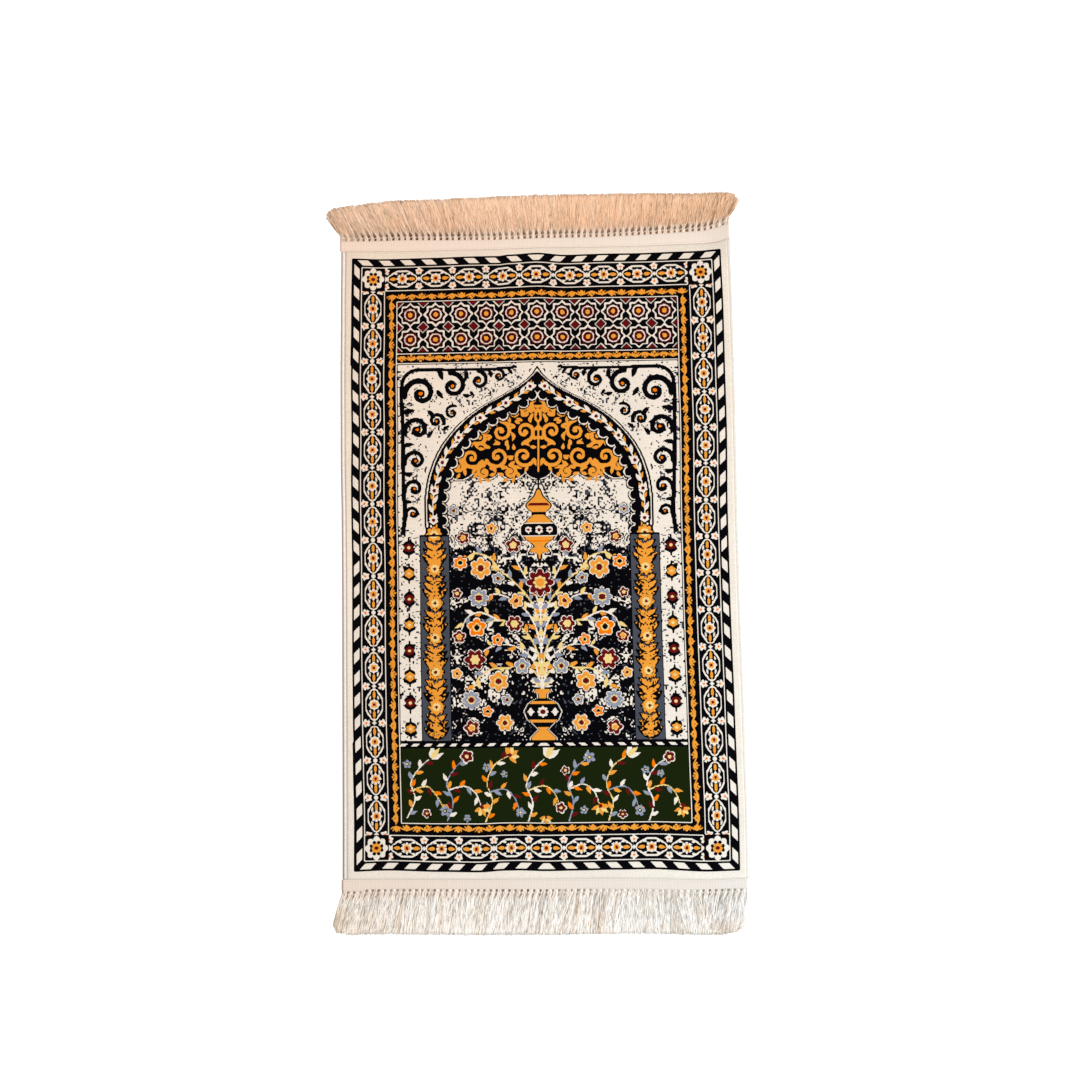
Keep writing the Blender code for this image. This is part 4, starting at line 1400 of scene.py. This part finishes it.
def add_node(material, kind, values=(), **settings):
    """A node with its settings, then values for its sockets as (socket, value)."""
    node = material.node_tree.nodes.new(f"ShaderNode{kind}")
    for word, setting in settings.items():
        setattr(node, word, setting)
    for socket, value in values:
        node.inputs[socket].default_value = value
    return node


def join(material, *joints):
    """Join nodes, each joint given as (node, output, node, input)."""
    for source, out, target, into in joints:
        material.node_tree.links.new(source.outputs[out], target.inputs[into])


def add_fibres(material, shader, scale, detail, darkest, brightest):
    """The yarn's colour from the mesh, times fine fibre noise; gives back the place and the noise."""
    yarn = add_node(material, "Attribute", attribute_name="yarn")
    where = add_node(material, "TexCoord")
    fibres = add_node(material, "TexNoise", (("Scale", scale), ("Detail", detail)))
    shade = add_node(material, "MapRange", (("To Min", darkest), ("To Max", brightest)))
    mix = add_node(material, "Mix", (("Factor", 1.0),), data_type="RGBA", blend_type="MULTIPLY")
    join(material, (where, "Object", fibres, "Vector"), (fibres, "Fac", shade, "Value"),
         (yarn, "Color", mix, "A"), (shade, "Result", mix, "B"), (mix, "Result", shader, "Base Color"))
    return where, fibres


def pile_material():
    """Cut pile: each knot's yarn colour, with fibre noise and a tuft bump at the knots' size."""
    material, shader = new_cloth("pile", 0.95, 0.0, 0.03)
    where, _ = add_fibres(material, shader, 1400.0, 2.0, 0.74, 1.24)
    tufts = add_node(material, "TexVoronoi", (("Scale", 1000 / KNOT),))
    bump = add_node(material, "Bump", (("Strength", 0.8), ("Distance", 0.0008)), invert=True)
    join(material, (where, "Object", tufts, "Vector"), (tufts, "Distance", bump, "Height"),
         (bump, "Normal", shader, "Normal"))
    return material


def yarn_material(name, scale, contrast, roughness, sheen, tint=(1.0, 1.0, 1.0)):
    """Twisted yarn: its own colour from the mesh, with fine fibre shading."""
    material, shader = new_cloth(name, roughness, sheen, 0.10, tint)
    _, fibres = add_fibres(material, shader, scale, 3.0, 1.0 - contrast, 1.0 + contrast)
    bump = add_node(material, "Bump", (("Strength", 0.4), ("Distance", 0.0003)))
    join(material, (fibres, "Fac", bump, "Height"), (bump, "Normal", shader, "Normal"))
    return material


def ground_material():
    """The woven back: weft ridges across the rug, in undyed yarn."""
    material, shader = new_cloth("ground", 0.9, 0.05, 0.2)
    where = add_node(material, "TexCoord")
    weft = add_node(material, "TexWave", (("Scale", 200.0), ("Distortion", 0.6)), bands_direction="Y")
    warp = add_node(material, "TexWave", (("Scale", 200.0),), bands_direction="X")
    # Painted shade: the weave's troughs are darker, by the same pattern that drives the bump.
    painted_shade, pale = (*(linear(BACK_YARN) * 0.72), 1), (*linear(BACK_YARN), 1)
    mix = add_node(material, "Mix", (("A", painted_shade), ("B", pale)), data_type="RGBA")
    cross = add_node(material, "Math", operation="MULTIPLY")
    bump = add_node(material, "Bump", (("Strength", 0.6), ("Distance", 0.0005)))
    join(material, (where, "Object", weft, "Vector"), (where, "Object", warp, "Vector"),
         (weft, "Fac", cross, 0), (warp, "Fac", cross, 1), (cross, "Value", mix, "Factor"),
         (mix, "Result", shader, "Base Color"), (cross, "Value", bump, "Height"),
         (bump, "Normal", shader, "Normal"))
    return material


def floor_material():
    """A white floor that glows a little, so that it looks as plain as the photo's ground."""
    return new_material("floor", {
        "Base Color": (0.93, 0.93, 0.93, 1), "Roughness": 1.0, "Specular IOR Level": 0.0,
        "Emission Color": (1, 1, 1, 1), "Emission Strength": 0.35,
    })[0]


# ---- the studio ----------------------------------------------------------------------------------
CAMERA_FROM_RUG = (0.0967, -0.2144, 2.5898)     # from the rug's middle
CAMERA_TURN = (0.09307, 0.03835, -0.01564)
FOCAL_PIXELS = 1478.0
FRAME_PIXELS = 1080.0


def add_camera():
    """The camera, where the photo's perspective puts it."""
    data = bpy.data.cameras.new("camera")
    data.sensor_width = 36.0
    data.lens = data.sensor_width * FOCAL_PIXELS / FRAME_PIXELS
    camera = show("camera", data)
    right, up, above = CAMERA_FROM_RUG
    camera.location = (MIDDLE_X + right, MIDDLE_Y + up, above)
    camera.rotation_euler = CAMERA_TURN
    bpy.context.scene.camera = camera


def add_light(name, location, size, power):
    """A round soft light, turned to the frame's origin."""
    data = bpy.data.lights.new(name, "AREA")
    data.shape = "DISK"
    data.size = size
    data.energy = power
    light = show(name, data)
    light.location = location
    light.rotation_euler = (-light.location).to_track_quat("-Z", "Y").to_euler()


def add_floor():
    """The plain floor that the rug lies on."""
    mesh = bpy.data.meshes.new("floor")
    mesh.from_pydata([(-6, -6, 0), (6, -6, 0), (6, 6, 0), (-6, 6, 0)], [], [(0, 1, 2, 3)])
    mesh.materials.append(floor_material())
    floor = show("floor", mesh)
    floor.location.z = -0.0001


def add_studio():
    """Camera, floor, two soft lights and an even white surround."""
    add_camera()
    add_floor()
    add_light("key", (1.9, -0.9, 2.6), 1.6, 70 * LIGHT)
    add_light("fill", (-1.8, 1.2, 2.4), 2.2, 30 * LIGHT)
    world = bpy.data.worlds.new("studio")
    world.use_nodes = True
    background = world.node_tree.nodes["Background"]
    background.inputs["Color"].default_value = (1, 1, 1, 1)
    background.inputs["Strength"].default_value = 0.42 * LIGHT
    bpy.context.scene.world = world
    bpy.context.scene.view_settings.view_transform = "Standard"


# ---- put together --------------------------------------------------------------------------------
def finish_piece(piece, material):
    """Give a piece its material and slot, and let it ride on the rug's one body."""
    piece.data.materials.append(material)
    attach(piece, "root")


def main():
    """Make all pieces, give each its material on the rug's one body, hide the frame's parts that they stand
    for, and set up the studio.
    """
    draw_chart()
    pile_finish = pile_material()
    yarn_finishes = (yarn_material("foot_yarn", 620.0, 0.34, 0.65, 0.25),
                     yarn_material("top_yarn", 620.0, 0.34, 0.65, 0.25, (1.0, 0.85, 0.70)))
    tape_finish = yarn_material("tape", 1100.0, 0.14, 0.65, 0.15, (1.0, 0.94, 0.88))
    rib_finish = yarn_material("rib_yarn", 1100.0, 0.15, 0.7, 0.15)

    ground = make_ground()
    finish_piece(ground, ground_material())
    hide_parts("rug")
    strips = make_pile()
    for strip in strips:
        finish_piece(strip, pile_finish)
    ribs = [make_rib("rib_left", -1), make_rib("rib_right", 1)]
    for rib in ribs:
        finish_piece(rib, rib_finish)

    for node, word, end in (("fringe_top", "top", 1), ("fringe_bottom", "foot", -1)):
        tape = make_tape(f"tape_{word}", end)
        stitches = make_stitches(f"stitches_{word}", end)
        yarns = make_fringe(f"yarns_{word}", end)
        yarn_finish = pick(end, yarn_finishes)
        for piece, finish in ((tape, tape_finish), (stitches, tape_finish), (yarns, yarn_finish)):
            finish_piece(piece, finish)
        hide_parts(node)

    add_studio()


main()
